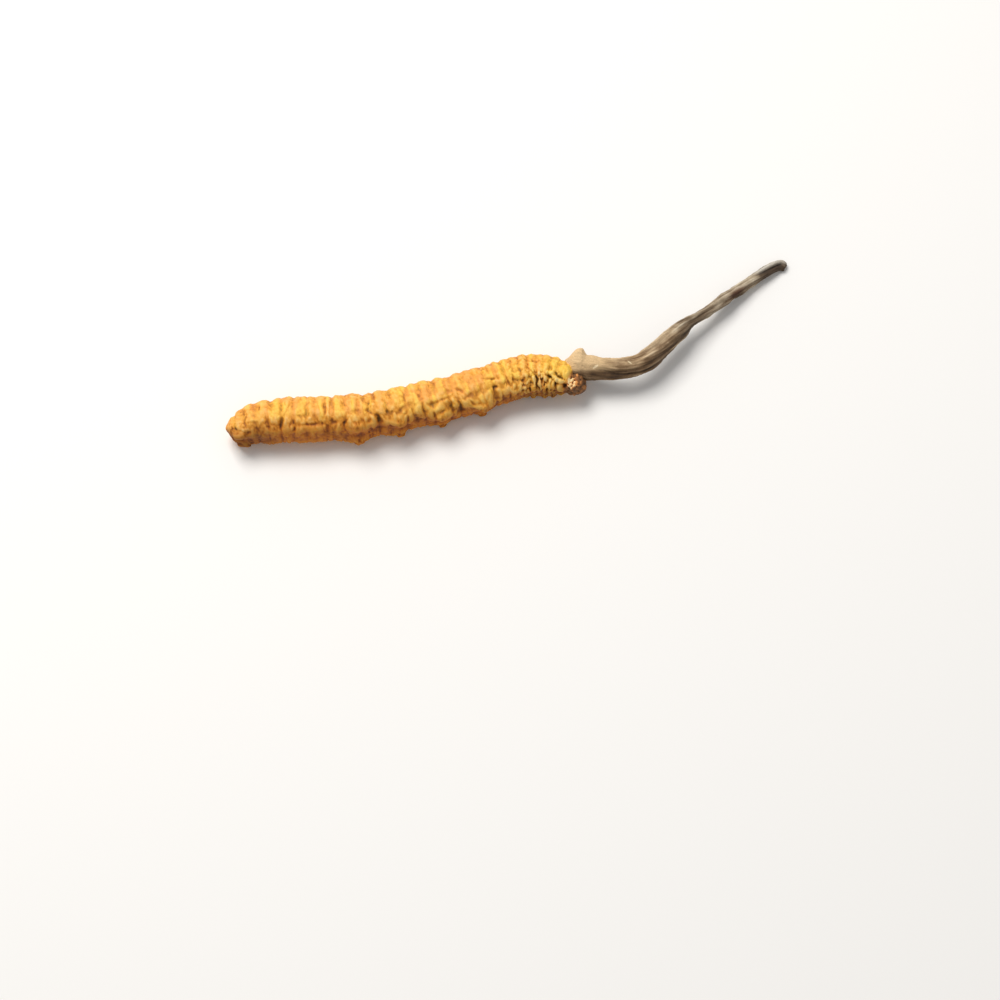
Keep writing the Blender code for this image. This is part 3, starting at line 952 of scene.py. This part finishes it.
    # From this depth on a crease also narrows the body on both sides of it.
    deep_crease: float = 0.30
    waist_depth: float = 0.08
    waist_half_width: float = 0.95
    notch_half_width: float = 0.42
    notch_reach: float = 1.1
    fold_wander: float = 7.0
    wrinkle_count: int = 150
    wrinkle_stations: Span = (2.0, 36.5)
    wrinkle_half_lengths: Span = (0.4, 1.5)
    wrinkle_half_width: float = 0.085
    wrinkle_depths: Span = (0.03, 0.09)
    wrinkle_turns: Span = (90.0, 17.0)
    pad_height: float = 0.38
    pad_half_length: float = 1.55
    pad_half_width: float = 25.0
    sole_radius: float = 0.26
    # The strip that the body rests on is flattened.
    underside: Span = (270.0, 34.0)
    flattened: float = 0.55
    # Rounds of evening that bring out fine and broad creases, and what turns their depth to a scale from 0 to 1,
    # which sets the painted shade of the creases.
    fine_rounds: int = 10
    broad_rounds: int = 90
    relief_mean: float = 0.59
    relief_swing: float = 0.58
    relief_mm: float = 0.50
    # Share of a leg's reach, and size of its end, at each step in which it is drawn out.
    leg_steps: Rows = ((0.42, 0.90), (0.32, 0.80), (0.18, 0.66), (0.08, 0.50))
    sole_rim: float = 0.04
    sole_depth: float = 0.05

    end_rings: tuple[float, ...] = (0.0, 0.10, 0.30, 0.60)
    tail_end: float = 0.9
    head_end: float = 0.8
    ring_step: float = 0.38
    thorax_step: float = 0.27
    least_radius: float = 0.35
    sides: int = 38
    levels: int = 2
    line: MiddleLine = field(init=False)

    def __post_init__(self) -> None:
        """Makes the middle line."""
        self.line = MiddleLine(self.middle)

    def build(self) -> bpy.types.Object:
        """Models, bends and dresses the larva.

        Returns:
            The finished piece.
        """
        thorax, length = self.thorax_in[0], self.line.length
        stations = [*self.end_rings, *np.arange(self.tail_end, thorax, self.ring_step)]
        stations += [*np.arange(thorax, length - self.head_end, self.thorax_step)]
        stations += [length - end for end in self.end_rings[::-1]]
        radii = [max(float(r), self.least_radius) for r in self.line.at(stations)[:, 3]]
        piece = straight_tube("larva_skin", stations, radii, self.sides)
        bpy.context.view_layer.objects.active = piece
        bpy.ops.object.mode_set(mode="EDIT")
        bpy.ops.mesh.select_mode(type="FACE")
        for pair in self.legs:
            self.draw_leg(piece, pair, -1)
            self.draw_leg(piece, pair, 1)
        bpy.ops.object.mode_set(mode="OBJECT")
        smooth_out(piece, self.levels)
        self.sculpt(piece)
        finish(piece, DriedSkin().build(), "larva")
        return piece

    def draw_leg(self, piece: bpy.types.Object, pair: LegPair, side: int) -> None:
        """Draws one leg out of the faces of the straight body.

        Args:
            piece: the straight cage, in edit mode.
            pair: the leg's pair.
            side: -1 or 1, the side of the belly that it stands on.
        """
        row = self.line.at(pair.station)[0]
        angle = math.radians(row[4] + side * pair.off_belly)
        out = Vector((0.0, math.cos(angle), math.sin(angle)))
        around = Vector((0.0, -out.z, out.y))
        root = Vector((pair.station, 0, 0)) + float(row[3]) * out

        def in_root(spot: Vector) -> bool:
            """Whether a face's middle lies in the leg's oval root."""
            off = spot - root
            return math.hypot(off.x / pair.half_along, off.dot(around) / pair.half_round) < 1 and off.dot(out) > -1.0

        if not select_faces(piece, in_root):
            LOG.warning("no faces for the %s at %.1f mm", pair.kind.value, pair.station)
            return
        for share, size in self.leg_steps:
            move = (out + pair.lean * Vector((1, 0, 0))) * pair.reach * share
            bpy.ops.mesh.extrude_region_move(TRANSFORM_OT_translate={"value": move})
            bpy.ops.transform.resize(value=(size, size, size), center_override=selected_middle(piece))
        if pair.kind is Leg.PROLEG:
            bpy.ops.mesh.inset(thickness=self.sole_rim, depth=-self.sole_depth)

    def skin_radius(self, station: np.ndarray, angle: np.ndarray) -> np.ndarray:
        """Distance of the skin from the middle line, without its finer wrinkles, in millimetres."""
        return np.maximum(self.line.at(station)[:, 3] + self.rings(station, angle), 0.0)

    def rings(self, station: np.ndarray, angle: np.ndarray) -> np.ndarray:
        """The rolls of skin and the creases between them, with the long folds of the sides.

        Args:
            station: distances from the tail.
            angle: directions round the body, in degrees.

        Returns:
            How far the skin stands out of the plain body, in millimetres.
        """
        row = self.line.at(station)
        full = step_up(row[:, 3], *self.ringed_mm)
        belly = apart(angle, row[:, 4])
        turn = np.radians(angle)
        height = -self.hollow_depth * bump(belly, *self.hollow)
        for direction, half_width, out in self.side_folds:
            place = np.column_stack([station * 0.45, angle * 0, angle * 0 + direction])
            wander = self.fold_wander * soft_noise(place, 3, 1)
            height += out * bump(apart(angle, direction + wander), 0.0, half_width)
        calm = 1 - self.calm_share * step_up(station, *self.calm_in)
        flank = 0.42 + 0.60 * bump(belly, *self.creased)
        long, short = self.crease_strays
        sway = 0.13 * np.sin(2 * turn + 0.9 * station) + 0.07 * np.sin(3 * turn - 1.7 * station)
        for i, (middle, depth) in enumerate(self.creases):
            place = np.column_stack([1.5 * np.cos(turn), 1.5 * np.sin(turn), np.full(len(turn), 5.1 * i)])
            strays = long * soft_noise(place, 61, 1) + short * soft_noise(place * 2.6, 62, 1)
            shown = step_up(soft_noise(place * (1.5, 1.5, 1.0), 63, 1), -0.25, 0.35)
            shown = self.crease_least + (1 - self.crease_least) * shown
            wide = self.crease_half_width * (0.8 + 0.3 * (i * 3 % 5) / 2)
            cut = self.ring_share * depth * bump(station, middle - sway + strays, wide)
            height -= cut * calm * shown * flank
            if depth > self.deep_crease:
                height -= self.waist_depth * bump(station, middle, self.waist_half_width)
        back = step_up(belly, *self.back_in)
        height -= np.interp(station, *np.array(self.thinned).T) * back
        for at, depth in self.notches:
            notch = 0.22 - bump(station, at + 0.5 * sway, self.notch_half_width)
            height += depth * notch * bump(station, at, self.notch_reach) * back
        edges = np.array([0.0, *(middle for middle, _ in self.creases), self.line.length])
        ring = np.clip(np.searchsorted(edges, station, side="right") - 1, 0, len(edges) - 2)
        share = (station - edges[ring]) / (edges[ring + 1] - edges[ring])
        return (height + self.roll_height * (4 * share * (1 - share) - self.roll_level)) * full

    def wrinkles(self) -> Rows:
        """Scatters short fine creases that run round the body between the rolls.

        Returns:
            The creases, in the form of the pits.
        """
        draw = np.random.default_rng(11)
        made = []
        for _ in range(self.wrinkle_count):
            at, way = draw.uniform(*self.wrinkle_stations), draw.uniform(0.0, 360.0)
            half_length, depth = draw.uniform(*self.wrinkle_half_lengths), draw.uniform(*self.wrinkle_depths)
            made.append((at, way, half_length, self.wrinkle_half_width, -depth, draw.normal(*self.wrinkle_turns)))
        return tuple(made)

    def mark_height(self, skin: Skin, marks: Rows) -> np.ndarray:
        """Adds up marks: pits, folds and lobes that each have a place, a size and a turn.

        Args:
            skin: the points of the straight body.
            marks: the marks.

        Returns:
            Their height, in millimetres.
        """
        total = np.zeros(len(skin.grown))
        wide = np.maximum(skin.plain, 0.8)
        for at, direction, half_length, half_width, height, turned in marks:
            along = skin.grown[:, 0] - at + skin.stray[0]
            across = np.radians(turn_from(skin.angle, direction)) * wide + skin.stray[1]
            far = oval(along, across, half_length, half_width, turned)
            total += height * np.exp(-(far**1.5) if height > 0 else -far)
        return total

    def read_skin(self, piece: bpy.types.Object) -> Skin:
        """Says of each point of the straight body where it lies and what part of the larva it is.

        Args:
            piece: the smooth straight body with its legs.

        Returns:
            Its points.
        """
        grown = read_points(piece)
        station = grown[:, 0]
        angle, radius, out = read_round(grown)
        row = self.line.at(station)
        plain = np.maximum(row[:, 3], 0.02)
        belly = apart(angle, row[:, 4])
        pads, soles = np.zeros(len(station)), np.zeros(len(station))
        for pair in self.legs:
            off = station - pair.station
            if pair.kind is not Leg.TRUE:
                far = (off / self.pad_half_length) ** 2 + ((belly - pair.off_belly - 3.0) / self.pad_half_width) ** 2
                pads += np.exp(-(far**1.5))
            if pair.kind is Leg.PROLEG:
                around = np.radians(belly - pair.off_belly) * plain
                soles += bump(np.hypot(off, around), 0.0, self.sole_radius)
        thorax = step_up(station, *self.thorax_in) * (1 - step_up(station, *self.thorax_out))
        flank = bump(belly, *self.flank)
        return Skin(
            *(grown, angle, radius, out, plain, belly),
            warp=np.stack([soft_noise(grown * 0.8, seed) for seed in (101, 102, 103)], axis=1),
            stray=np.stack([0.10 * soft_noise(grown * 1.2, seed) for seed in (91, 95)]),
            leg=step_up(radius - plain, *self.leg_mm),
            full=step_up(plain, *self.full_mm),
            head=step_up(station, *self.head_in),
            tail=1 - step_up(station, *self.tail_out),
            thorax=thorax,
            flank=flank,
            crumpled=flank * (0.62 + 0.38 * step_up(station, *self.lively_in)),
            breast=thorax * bump(belly, *self.breast),
            pads=pads,
            soles=soles * step_up(radius - plain, *self.sole_mm),
        )

    def sculpt(self, piece: bpy.types.Object) -> None:
        """Works rolls, crumples and marks into the straight body, then bends it onto its middle line.

        Args:
            piece: the smooth straight body with its legs.
        """
        skin = self.read_skin(piece)
        lobes, pits = self.mark_height(skin, self.lobes), self.mark_height(skin, self.pits)
        marks = self.rings(skin.grown[:, 0], skin.angle) + lobes + pits + self.mark_height(skin, self.wrinkles())
        crumples = sum(layer.height(skin) for layer in (*self.layers, self.teeth, self.crumbs)) * skin.full
        # The skin is smoother on the big lobes and on the legs.
        calm = 1 - 0.65 * step_up(lobes, 0.08, 0.25)
        total = crumples * calm * (1 - 0.7 * skin.leg) + self.pad_height * skin.pads * skin.full
        total += marks * (1 - 0.6 * skin.leg)
        direction, half_width = self.underside
        total *= 1 - self.flattened * bump(apart(skin.angle, direction), 0.0, half_width)
        put_down(piece, self.line.bend(skin.grown + skin.out * total[:, None]))
        self.paint(piece, skin, total + (skin.radius - skin.plain) * skin.leg, pits)

    def paint(self, piece: bpy.types.Object, skin: Skin, stands: np.ndarray, pits: np.ndarray) -> None:
        """Stores the painted light and shade of crests, creases, hollows and the belly, and where the skin is pale,
        rosy, yellow or cream or its soles dark.

        Args:
            piece: the sculpted body.
            skin: the points of the straight body.
            stands: how far each point stands out of the plain body, in millimetres.
            pits: height of the pits there, in millimetres.
        """
        # What stands out of the evened skin is a crest and what lies under it a crease: crests are painted lighter
        # and creases darker, as light and shade fall on them.
        grown, belly, thorax, breast = skin.grown, skin.belly, skin.thorax, skin.breast
        station, body = grown[:, 0], 1 - skin.head
        ends = read_edges(piece)
        close = stands - evened(stands, ends, self.fine_rounds)
        wide = stands - evened(stands, ends, self.broad_rounds)
        lift = (1.9 + 0.3 * skin.flank + 0.3 * breast) * close + (1.1 + 0.3 * skin.flank) * wide
        relief = self.relief_mean + self.relief_swing * np.tanh(lift / self.relief_mm)
        crest = step_up(relief, 0.45, 0.85)
        # Yellow patches and bands on the back, on the thorax and along the flank's crests.
        patch = soft_noise(grown * (0.75, 0.5, 0.5), 77)
        band = soft_noise(grown * (1.5, 0.28, 0.28), 81)
        lemon = 0.8 * step_up(station, 34.0, 38.0) * body * step_up(patch, -0.35, 0.25)
        lemon += step_up(belly, 45.0, 80.0) * (0.5 * step_up(patch, 0.12, 0.40) + 0.9 * step_up(band, 0.08, 0.30))
        lemon += 0.8 * bump(station, 42.9, 0.7) * bump(skin.angle, 95.0, 30.0)
        lemon += 0.55 * bump(station, 28.0, 9.0) * bump(belly, 48.0, 24.0)
        rosy = step_up(soft_noise(grown * (0.4, 0.5, 0.5), 87), -0.05, 0.35) + 0.9 * (1 - step_up(band, -0.35, -0.08))
        # The tips of pads and teeth are pale. The gaps between teeth, the thorax's underside and the tail's underside
        # are painted dark, as shade.
        teeth, crumbs = (scattered(layer.place(skin), layer.seed)[1] for layer in (self.teeth, self.crumbs))
        tips = 0.15 * np.clip(skin.pads * step_up(belly, 8.0, 30.0), 0, 1) + thorax * bump(belly, 30.0, 45.0)
        tips += breast * step_up(teeth, 0.45, 0.8)
        gap_shade = 1.2 * breast * step_up(-close, 0.01, 0.12) + 0.5 * thorax * bump(belly, 0.0, 36.0)
        gap_shade += 0.5 * (1 - step_up(station, 4.0, 8.0)) * step_up(70.0 - belly, 0.0, 40.0)
        # The head's crumbs are pale on its sides and brown elsewhere, and painted dark in the hollows between them,
        # as shade.
        crumbs = evened(crumbs, ends, 2)
        pale = bump(station, 43.9, 0.95) * bump(belly, 80.0, 48.0)
        crumbs = (0.12 + 0.42 * crumbs + (0.24 + 0.60 * crumbs) * pale) * step_up(close, -0.13, 0.0)
        # Dark brown in the low folds of the belly's sides and in the pits, painted shade, and on the soles.
        low = bump(belly, 42.0, 24.0) + 0.7 * bump(belly, 0.0, 30.0)
        dark_soles_and_shade = 0.6 * step_up(soft_noise(grown * (0.5, 0.9, 0.9), 71, 3), 0.05, 0.5) * low * (1 - crest)
        dark_soles_and_shade += 0.4 * step_up(-pits, 0.16, 0.45) + 0.55 * skin.soles
        values = {
            "grown": grown,
            "relief": relief,
            # Where the lower flank and the belly are painted darker, as shade.
            "belly": step_up(82.0 - belly, 0.0, 66.0),
            "lemon": lemon * (0.35 + 0.65 * crest),
            "rosy": rosy * step_up(belly, 50.0, 80.0) * (1 - thorax),
            "cream": np.clip(tips, 0, 1) * step_up(close, 0.0, 0.08) * body,
            "head": skin.head,
            "tone": crumbs,
            "dark_soles_and_shade": dark_soles_and_shade * body,
            "gap_shade": gap_shade * body,
        }
        keep(piece, values)


@dataclass
class Stroma:
    """The fungus stalk: a furrowed, slightly twisted rod whose flared foot sits on the larva's head."""

    # x, y, height and half thickness, in millimetres.
    middle: Rows = (
        (7.08, -2.72, 2.65, 0.00), (7.35, -2.66, 2.70, 0.90), (7.75, -2.58, 2.76, 1.26), (8.40, -2.60, 2.86, 1.58),
        (9.43, -2.66, 3.00, 1.58), (10.54, -2.76, 3.20, 1.49), (11.77, -2.91, 3.35, 1.34), (13.75, -2.96, 3.40, 1.25),
        (15.49, -2.66, 3.40, 1.25), (17.12, -1.88, 3.35, 1.31), (18.78, -0.39, 3.25, 1.34), (20.45, 1.34, 3.10, 1.29),
        (22.14, 3.12, 2.85, 1.13), (23.71, 4.39, 2.55, 0.89), (25.41, 5.75, 2.20, 0.80), (27.13, 7.26, 1.85, 0.87),
        (28.85, 8.64, 1.50, 0.80), (30.58, 10.07, 1.20, 0.71), (32.18, 11.34, 0.95, 0.74), (33.65, 12.37, 0.75, 0.71),
        (34.84, 12.98, 0.60, 0.62), (35.50, 12.98, 0.56, 0.40), (35.73, 12.88, 0.55, 0.00),
    )  # fmt: skip
    # Direction, half width and depth (as a share of the radius) of each lengthwise furrow.
    furrows: Rows = (
        (0.0, 16.8, 0.20), (108.0, 14.4, 0.17), (198.0, 16.0, 0.20), (288.0, 14.4, 0.16),
    )  # fmt: skip
    # Station, direction, half length and half width (mm) of each pale fleck and the turn of its length.
    flecks: Rows = (
        (4.11, 109.0, 0.46, 0.14, -44.0),
        (8.15, 86.0, 0.40, 0.10, 60.0),
    )
    fleck_radius: float = 1.5
    # Station, direction, half length (mm), half width (degrees) and height of each swelling, or dent below 0.
    swells: Rows = (
        (18.9, 202.0, 1.4, 55.0, -0.30),
        (21.6, 22.0, 2.3, 58.0, -0.15),
        (25.4, 202.0, 0.6, 45.0, -0.14),
        (26.2, 22.0, 2.3, 58.0, -0.13),
        (33.5, 200.0, 0.9, 42.0, -0.12),
        (34.2, 200.0, 0.80, 46.0, 0.44),
    )
    # Station, half length, and how much paler the stalk is there all round, on top and underneath.
    tones: Rows = (
        (13.0, 2.6, 0.0, 0.22, 0.0),
        (18.0, 2.2, 0.0, -0.12, 0.0),
        (22.4, 2.0, 0.0, 0.0, 0.38),
        (26.0, 1.2, -0.12, 0.0, -0.08),
        (28.7, 1.4, 0.06, 0.0, 0.0),
        (28.9, 1.3, 0.0, 0.0, 0.24),
    )
    twist_per_mm: float = 5.5
    oval_share: float = 0.07
    furrow_wander: float = 14.0
    # The lip of the foot: its height, direction and half width, and the stations where it starts to rise, is
    # highest from and to, and ends.
    lip_height: float = 0.74
    lip_way: Span = (24.0, 40.0)
    lip: Range = (0.55, 2.05, 2.25, 2.95)
    # The fold along the tip: its depth as a share of the radius, direction and half width.
    fold_depth: float = 0.40
    fold_way: Span = (108.0, 26.0)
    # Fibres a millimetre along and round the stalk.
    fibres_per_mm: Place = (0.19, 1.9, 1.9)
    ridge_height: float = 0.09
    crack_depth: float = 0.15
    strand_height: float = 0.045
    lump_height: float = 0.09
    knot_height: float = 0.07
    grain_height: float = 0.04
    # Weights of ridges, strands, knots and cracks in what is seen as ridge or furrow.
    seen: Range = (0.20, 0.18, 0.12, 0.70)
    furrow_shade: float = 0.8
    # Stations over which the foot's smooth skin ends in relief and in colour, and over which the fibres come in.
    foot_out: Span = (3.0, 7.5)
    foot_tint_out: Span = (4.4, 7.0)
    bare_in: Span = (2.0, 6.0)
    # The middle of the upper side that is painted paler, as if lit, and what the tones start from and gain there, as
    # painted light, and in patches.
    painted_light_direction: float = 50.0
    tone_mean: float = 0.32
    painted_light_on_top: float = 0.40
    tone_in_patches: float = 0.10
    ring_step: float = 0.38
    foot_step: float = 0.22
    least_radius: float = 0.2
    sides: int = 36
    levels: int = 2
    # The foot's rim lies this deep in the head's skin, and is looked for up to this station.
    sunk: float = 0.10
    seated_to: float = 8.0
    line: MiddleLine = field(init=False)

    def __post_init__(self) -> None:
        """Makes the middle line."""
        self.line = MiddleLine(self.middle)

    def build(self, larva: Larva) -> bpy.types.Object:
        """Models, bends and dresses the stalk.

        Args:
            larva: the larva that its foot sits on.

        Returns:
            The finished piece.
        """
        length = self.line.length
        stations = [0.0, 0.08, 0.25, 0.5, *np.arange(0.75, 3.4, self.foot_step)]
        count = round((length - 0.8 - stations[-1]) / self.ring_step)
        stations += [*np.linspace(stations[-1], length - 0.8, count + 1)[1:]]
        stations += [length - 0.5, length - 0.25, length - 0.08, length]
        radii = [max(float(r), self.least_radius) for r in self.line.at(stations)[:, 3]]
        piece = straight_tube("stroma_stalk", stations, radii, self.sides)
        smooth_out(piece, self.levels)
        self.sculpt(piece, larva)
        finish(piece, DriedStalk().build(), "stroma")
        return piece

    def sculpt(self, piece: bpy.types.Object, larva: Larva) -> None:
        """Works furrows, fibres and the lip into the straight stalk, bends it and seats its foot on the head.

        Args:
            piece: the smooth straight stalk.
            larva: the larva that its foot sits on.
        """
        straight = read_points(piece)
        station, length = straight[:, 0], self.line.length
        angle, radius, out = read_round(straight)
        plain = np.minimum(self.line.at(station)[:, 3], radius + 0.4)
        turned = angle - self.twist_per_mm * station
        turn = np.radians(turned)
        bare = step_up(station, *self.bare_in)
        fibrous = 0.35 + 0.65 * bare

        wander = self.furrow_wander * soft_noise(np.column_stack([station * 0.28, station * 0, station * 0]), 3, 1)
        furrowed = np.zeros(len(station))
        for direction, half_width, depth in self.furrows:
            furrowed += depth * fibrous * bump(apart(turned + wander, direction), 0.0, half_width)
        tip = step_up(station, length - 5.5, length - 2.5) * (1 - step_up(station, length - 1.2, length - 0.3))
        direction, half_width = self.fold_way
        furrowed += self.fold_depth * tip * bump(apart(angle, direction), 0.0, half_width)

        start, crest, fall, over = self.lip
        lip = step_up(station, start, crest) * (1 - step_up(station, fall, over))
        direction, half_width = self.lip_way
        rise = self.lip_height * lip * bump(apart(angle, direction), 0.0, half_width)
        for at, direction, half_length, half_width, height in self.swells:
            rise += height * bump(station, at, half_length) * bump(apart(angle, direction), 0.0, half_width)

        grown = np.column_stack([station, plain * np.cos(turn), plain * np.sin(turn)])
        fibres = grown * self.fibres_per_mm
        ridges = soft_noise(fibres + 5.0, 7, 3)
        strands = soft_noise(fibres * (1.6, 2.6, 2.6), 13)
        cracks = soft_folds(fibres * (1.3, 1.25, 1.25) + 9.0, 53) - 0.2
        knots = soft_noise(straight * (1.1, 1.6, 1.6), 47)
        relief = (self.ridge_height * ridges + self.crack_depth * cracks) * fibrous
        relief += self.strand_height * strands * bare + self.knot_height * knots
        relief += self.lump_height * soft_noise(straight * (0.55, 0.8, 0.8), 19)
        relief += self.grain_height * soft_noise(straight * 4.2, 29) * (1.5 - step_up(station, *self.foot_out))
        wanted = plain * (1 + self.oval_share * np.cos(2 * turn) - furrowed) + rise
        wanted += step_up(plain, 0.1, 0.6) * relief
        moved = straight * (1, 0, 0) + out * np.maximum(wanted, 0.0)[:, None]
        places = self.line.bend(moved)
        near = station < self.seated_to
        places[near] = self.seat(places[near], larva)
        put_down(piece, places)

        # Ridges are painted paler and furrows and cracks darker, partly as painted light and shade.
        ridge, strand, knot, crack = self.seen
        seen = ridge * ridges + strand * strands + knot * knots + crack * cracks * (0.4 + 0.6 * bare)
        keep(piece, {"grown": grown})
        self.paint(piece, straight, angle, seen - self.furrow_shade * furrowed)

    def seat(self, places: np.ndarray, larva: Larva) -> np.ndarray:
        """Brings what would lie inside the head out to just under its skin.

        Args:
            places: points of the foot, in the middle lines' millimetres.
            larva: the larva that the foot sits on.

        Returns:
            The same points, seated.
        """
        station, angle, far = larva.line.nearest(places)
        skin = larva.skin_radius(station, angle) - self.sunk
        turn = np.radians(angle)
        seated = larva.line.bend(np.column_stack([station, skin * np.cos(turn), skin * np.sin(turn)]))
        return np.where(((far < skin) & (station > 0))[:, None], seated, places)

    def paint(self, piece: bpy.types.Object, straight: np.ndarray, angle: np.ndarray, relief: np.ndarray) -> None:
        """Stores where the stalk is pale or brown, partly as painted light and shade, where it is rusty or pale grey,
        and its two pale flecks.

        Args:
            piece: the sculpted stalk.
            straight: the points of the straight stalk.
            angle: their directions round it, in degrees.
            relief: how far each point is ridge, above 0, or furrow.
        """
        station, length = straight[:, 0], self.line.length
        # Painted light: the tones rise towards the upper side, as if it were lit; the underside has its own small
        # changes.
        side = apart(angle, self.painted_light_direction)
        top, under = 1 - step_up(side, 20.0, 85.0), step_up(side, 45.0, 75.0)
        foot = 1 - step_up(station, *self.foot_tint_out)
        patches = soft_noise(straight * (0.3, 0.8, 0.8), 37)
        relief = relief + self.tone_mean + self.painted_light_on_top * top + self.tone_in_patches * patches
        relief += (0.06 - 0.04 * foot) * under
        for at, half_length, round_it, above, below in self.tones:
            relief += bump(station, at, half_length) * (round_it + above * top + below * under)
        # The tip is pale grey along its top, partly its own ash colour and partly painted highlight, and dark slate
        # along its lower side by the fold, partly its own colour and partly painted shade; both fade at its very end.
        tip = step_up(station, length - 5.6, length - 3.4)
        last = step_up(station, length - 1.5, length - 0.3)
        flakes = np.zeros(len(station))
        for at, direction, half_length, half_width, turned in self.flecks:
            across = np.radians(turn_from(angle, direction)) * self.fleck_radius
            flakes += np.exp(-oval(station - at, across, half_length, half_width, turned))
        values = {
            "relief": relief,
            "foot": foot * (1 - step_up(side, 62.0, 92.0)) * (0.80 + 0.35 * patches),
            "rust": 0.75 * bump(station, 26.0, 1.3) * bump(angle, 120.0, 28.0) * step_up(patches, -0.4, 0.1),
            "slate_and_shade": 0.82 * tip * bump(angle, 147.0, 46.0) * (1 - 0.45 * last),
            "ash_and_highlight": 0.85 * tip * bump(side / (1 + 0.4 * last), 0.0, 32.0) * (1 - 0.2 * last),
            "greyed": 0.35 * step_up(station, 9.0, 12.0) + 0.65 * step_up(station, 14.0, 18.0),
            "flake": step_up(flakes, 0.30, 0.60),
        }
        keep(piece, values)


@dataclass
class Studio:
    """A pale floor, soft lights and the camera at the photograph's angle."""

    floor_half: float = 3.0
    # The lamp's place, side and strength, in metres and watts.
    lamp_place: Place = (-0.14, 0.17, 0.42)
    lamp_side: float = 0.26
    lamp_watts: float = 2.0
    lamp_tint: str = "#fffcf8"
    sky_tint: str = "#ffffff"
    sky_strength: float = 0.42
    elevation: float = 68.0
    lens: float = 85.0
    sensor: float = 36.0
    nearest_seen: float = 0.01
    eye_mm: Place = (-0.8746, -127.6538, 268.5923)

    def build(self) -> None:
        """Makes the floor, the lights and the camera."""
        self.lay_floor()
        self.hang_lamp()
        self.light_sky()
        self.place_camera()
        bpy.context.scene.view_settings.view_transform = "Standard"

    def lay_floor(self) -> None:
        """A wide floor that the underside rests on."""
        bpy.ops.object.select_all(action="DESELECT")
        bpy.ops.mesh.primitive_plane_add(size=2 * self.floor_half, location=(0, 0, 0))
        floor = bpy.context.object
        floor.name = "floor"
        floor.data.materials.append(PaintedFloor().build())

    def hang_lamp(self) -> None:
        """A soft square lamp that faces the piece."""
        light = bpy.data.lights.new("key", "AREA")
        light.size = self.lamp_side
        light.energy = self.lamp_watts
        light.color = linear(self.lamp_tint)[:3]
        lamp = bpy.data.objects.new("key", light)
        lamp.location = self.lamp_place
        lamp.rotation_euler = Vector(self.lamp_place).to_track_quat("Z", "Y").to_euler()
        bpy.context.scene.collection.objects.link(lamp)

    def light_sky(self) -> None:
        """Even light from all round."""
        world = bpy.data.worlds.new("studio")
        world.use_nodes = True
        background = world.node_tree.nodes["Background"]
        background.inputs["Color"].default_value = linear(self.sky_tint)
        background.inputs["Strength"].default_value = self.sky_strength
        bpy.context.scene.world = world

    def place_camera(self) -> None:
        """The camera at the photograph's angle, with the piece where the photograph has it."""
        data = bpy.data.cameras.new("camera")
        data.lens = self.lens
        data.sensor_width = self.sensor
        data.clip_start = self.nearest_seen
        camera = bpy.data.objects.new("camera", data)
        camera.location = (np.array(self.eye_mm) - CENTRE) * MM
        camera.rotation_euler = (math.radians(90.0 - self.elevation), 0.0, 0.0)
        bpy.context.scene.collection.objects.link(camera)
        bpy.context.scene.camera = camera


def main() -> None:
    """Builds the larva, its stalk and the studio round them."""
    logging.basicConfig(level=logging.INFO, format="%(name)s: %(message)s")
    larva = Larva()
    larva.build()
    Stroma().build(larva)
    Studio().build()


if __name__ == "__main__":
    main()
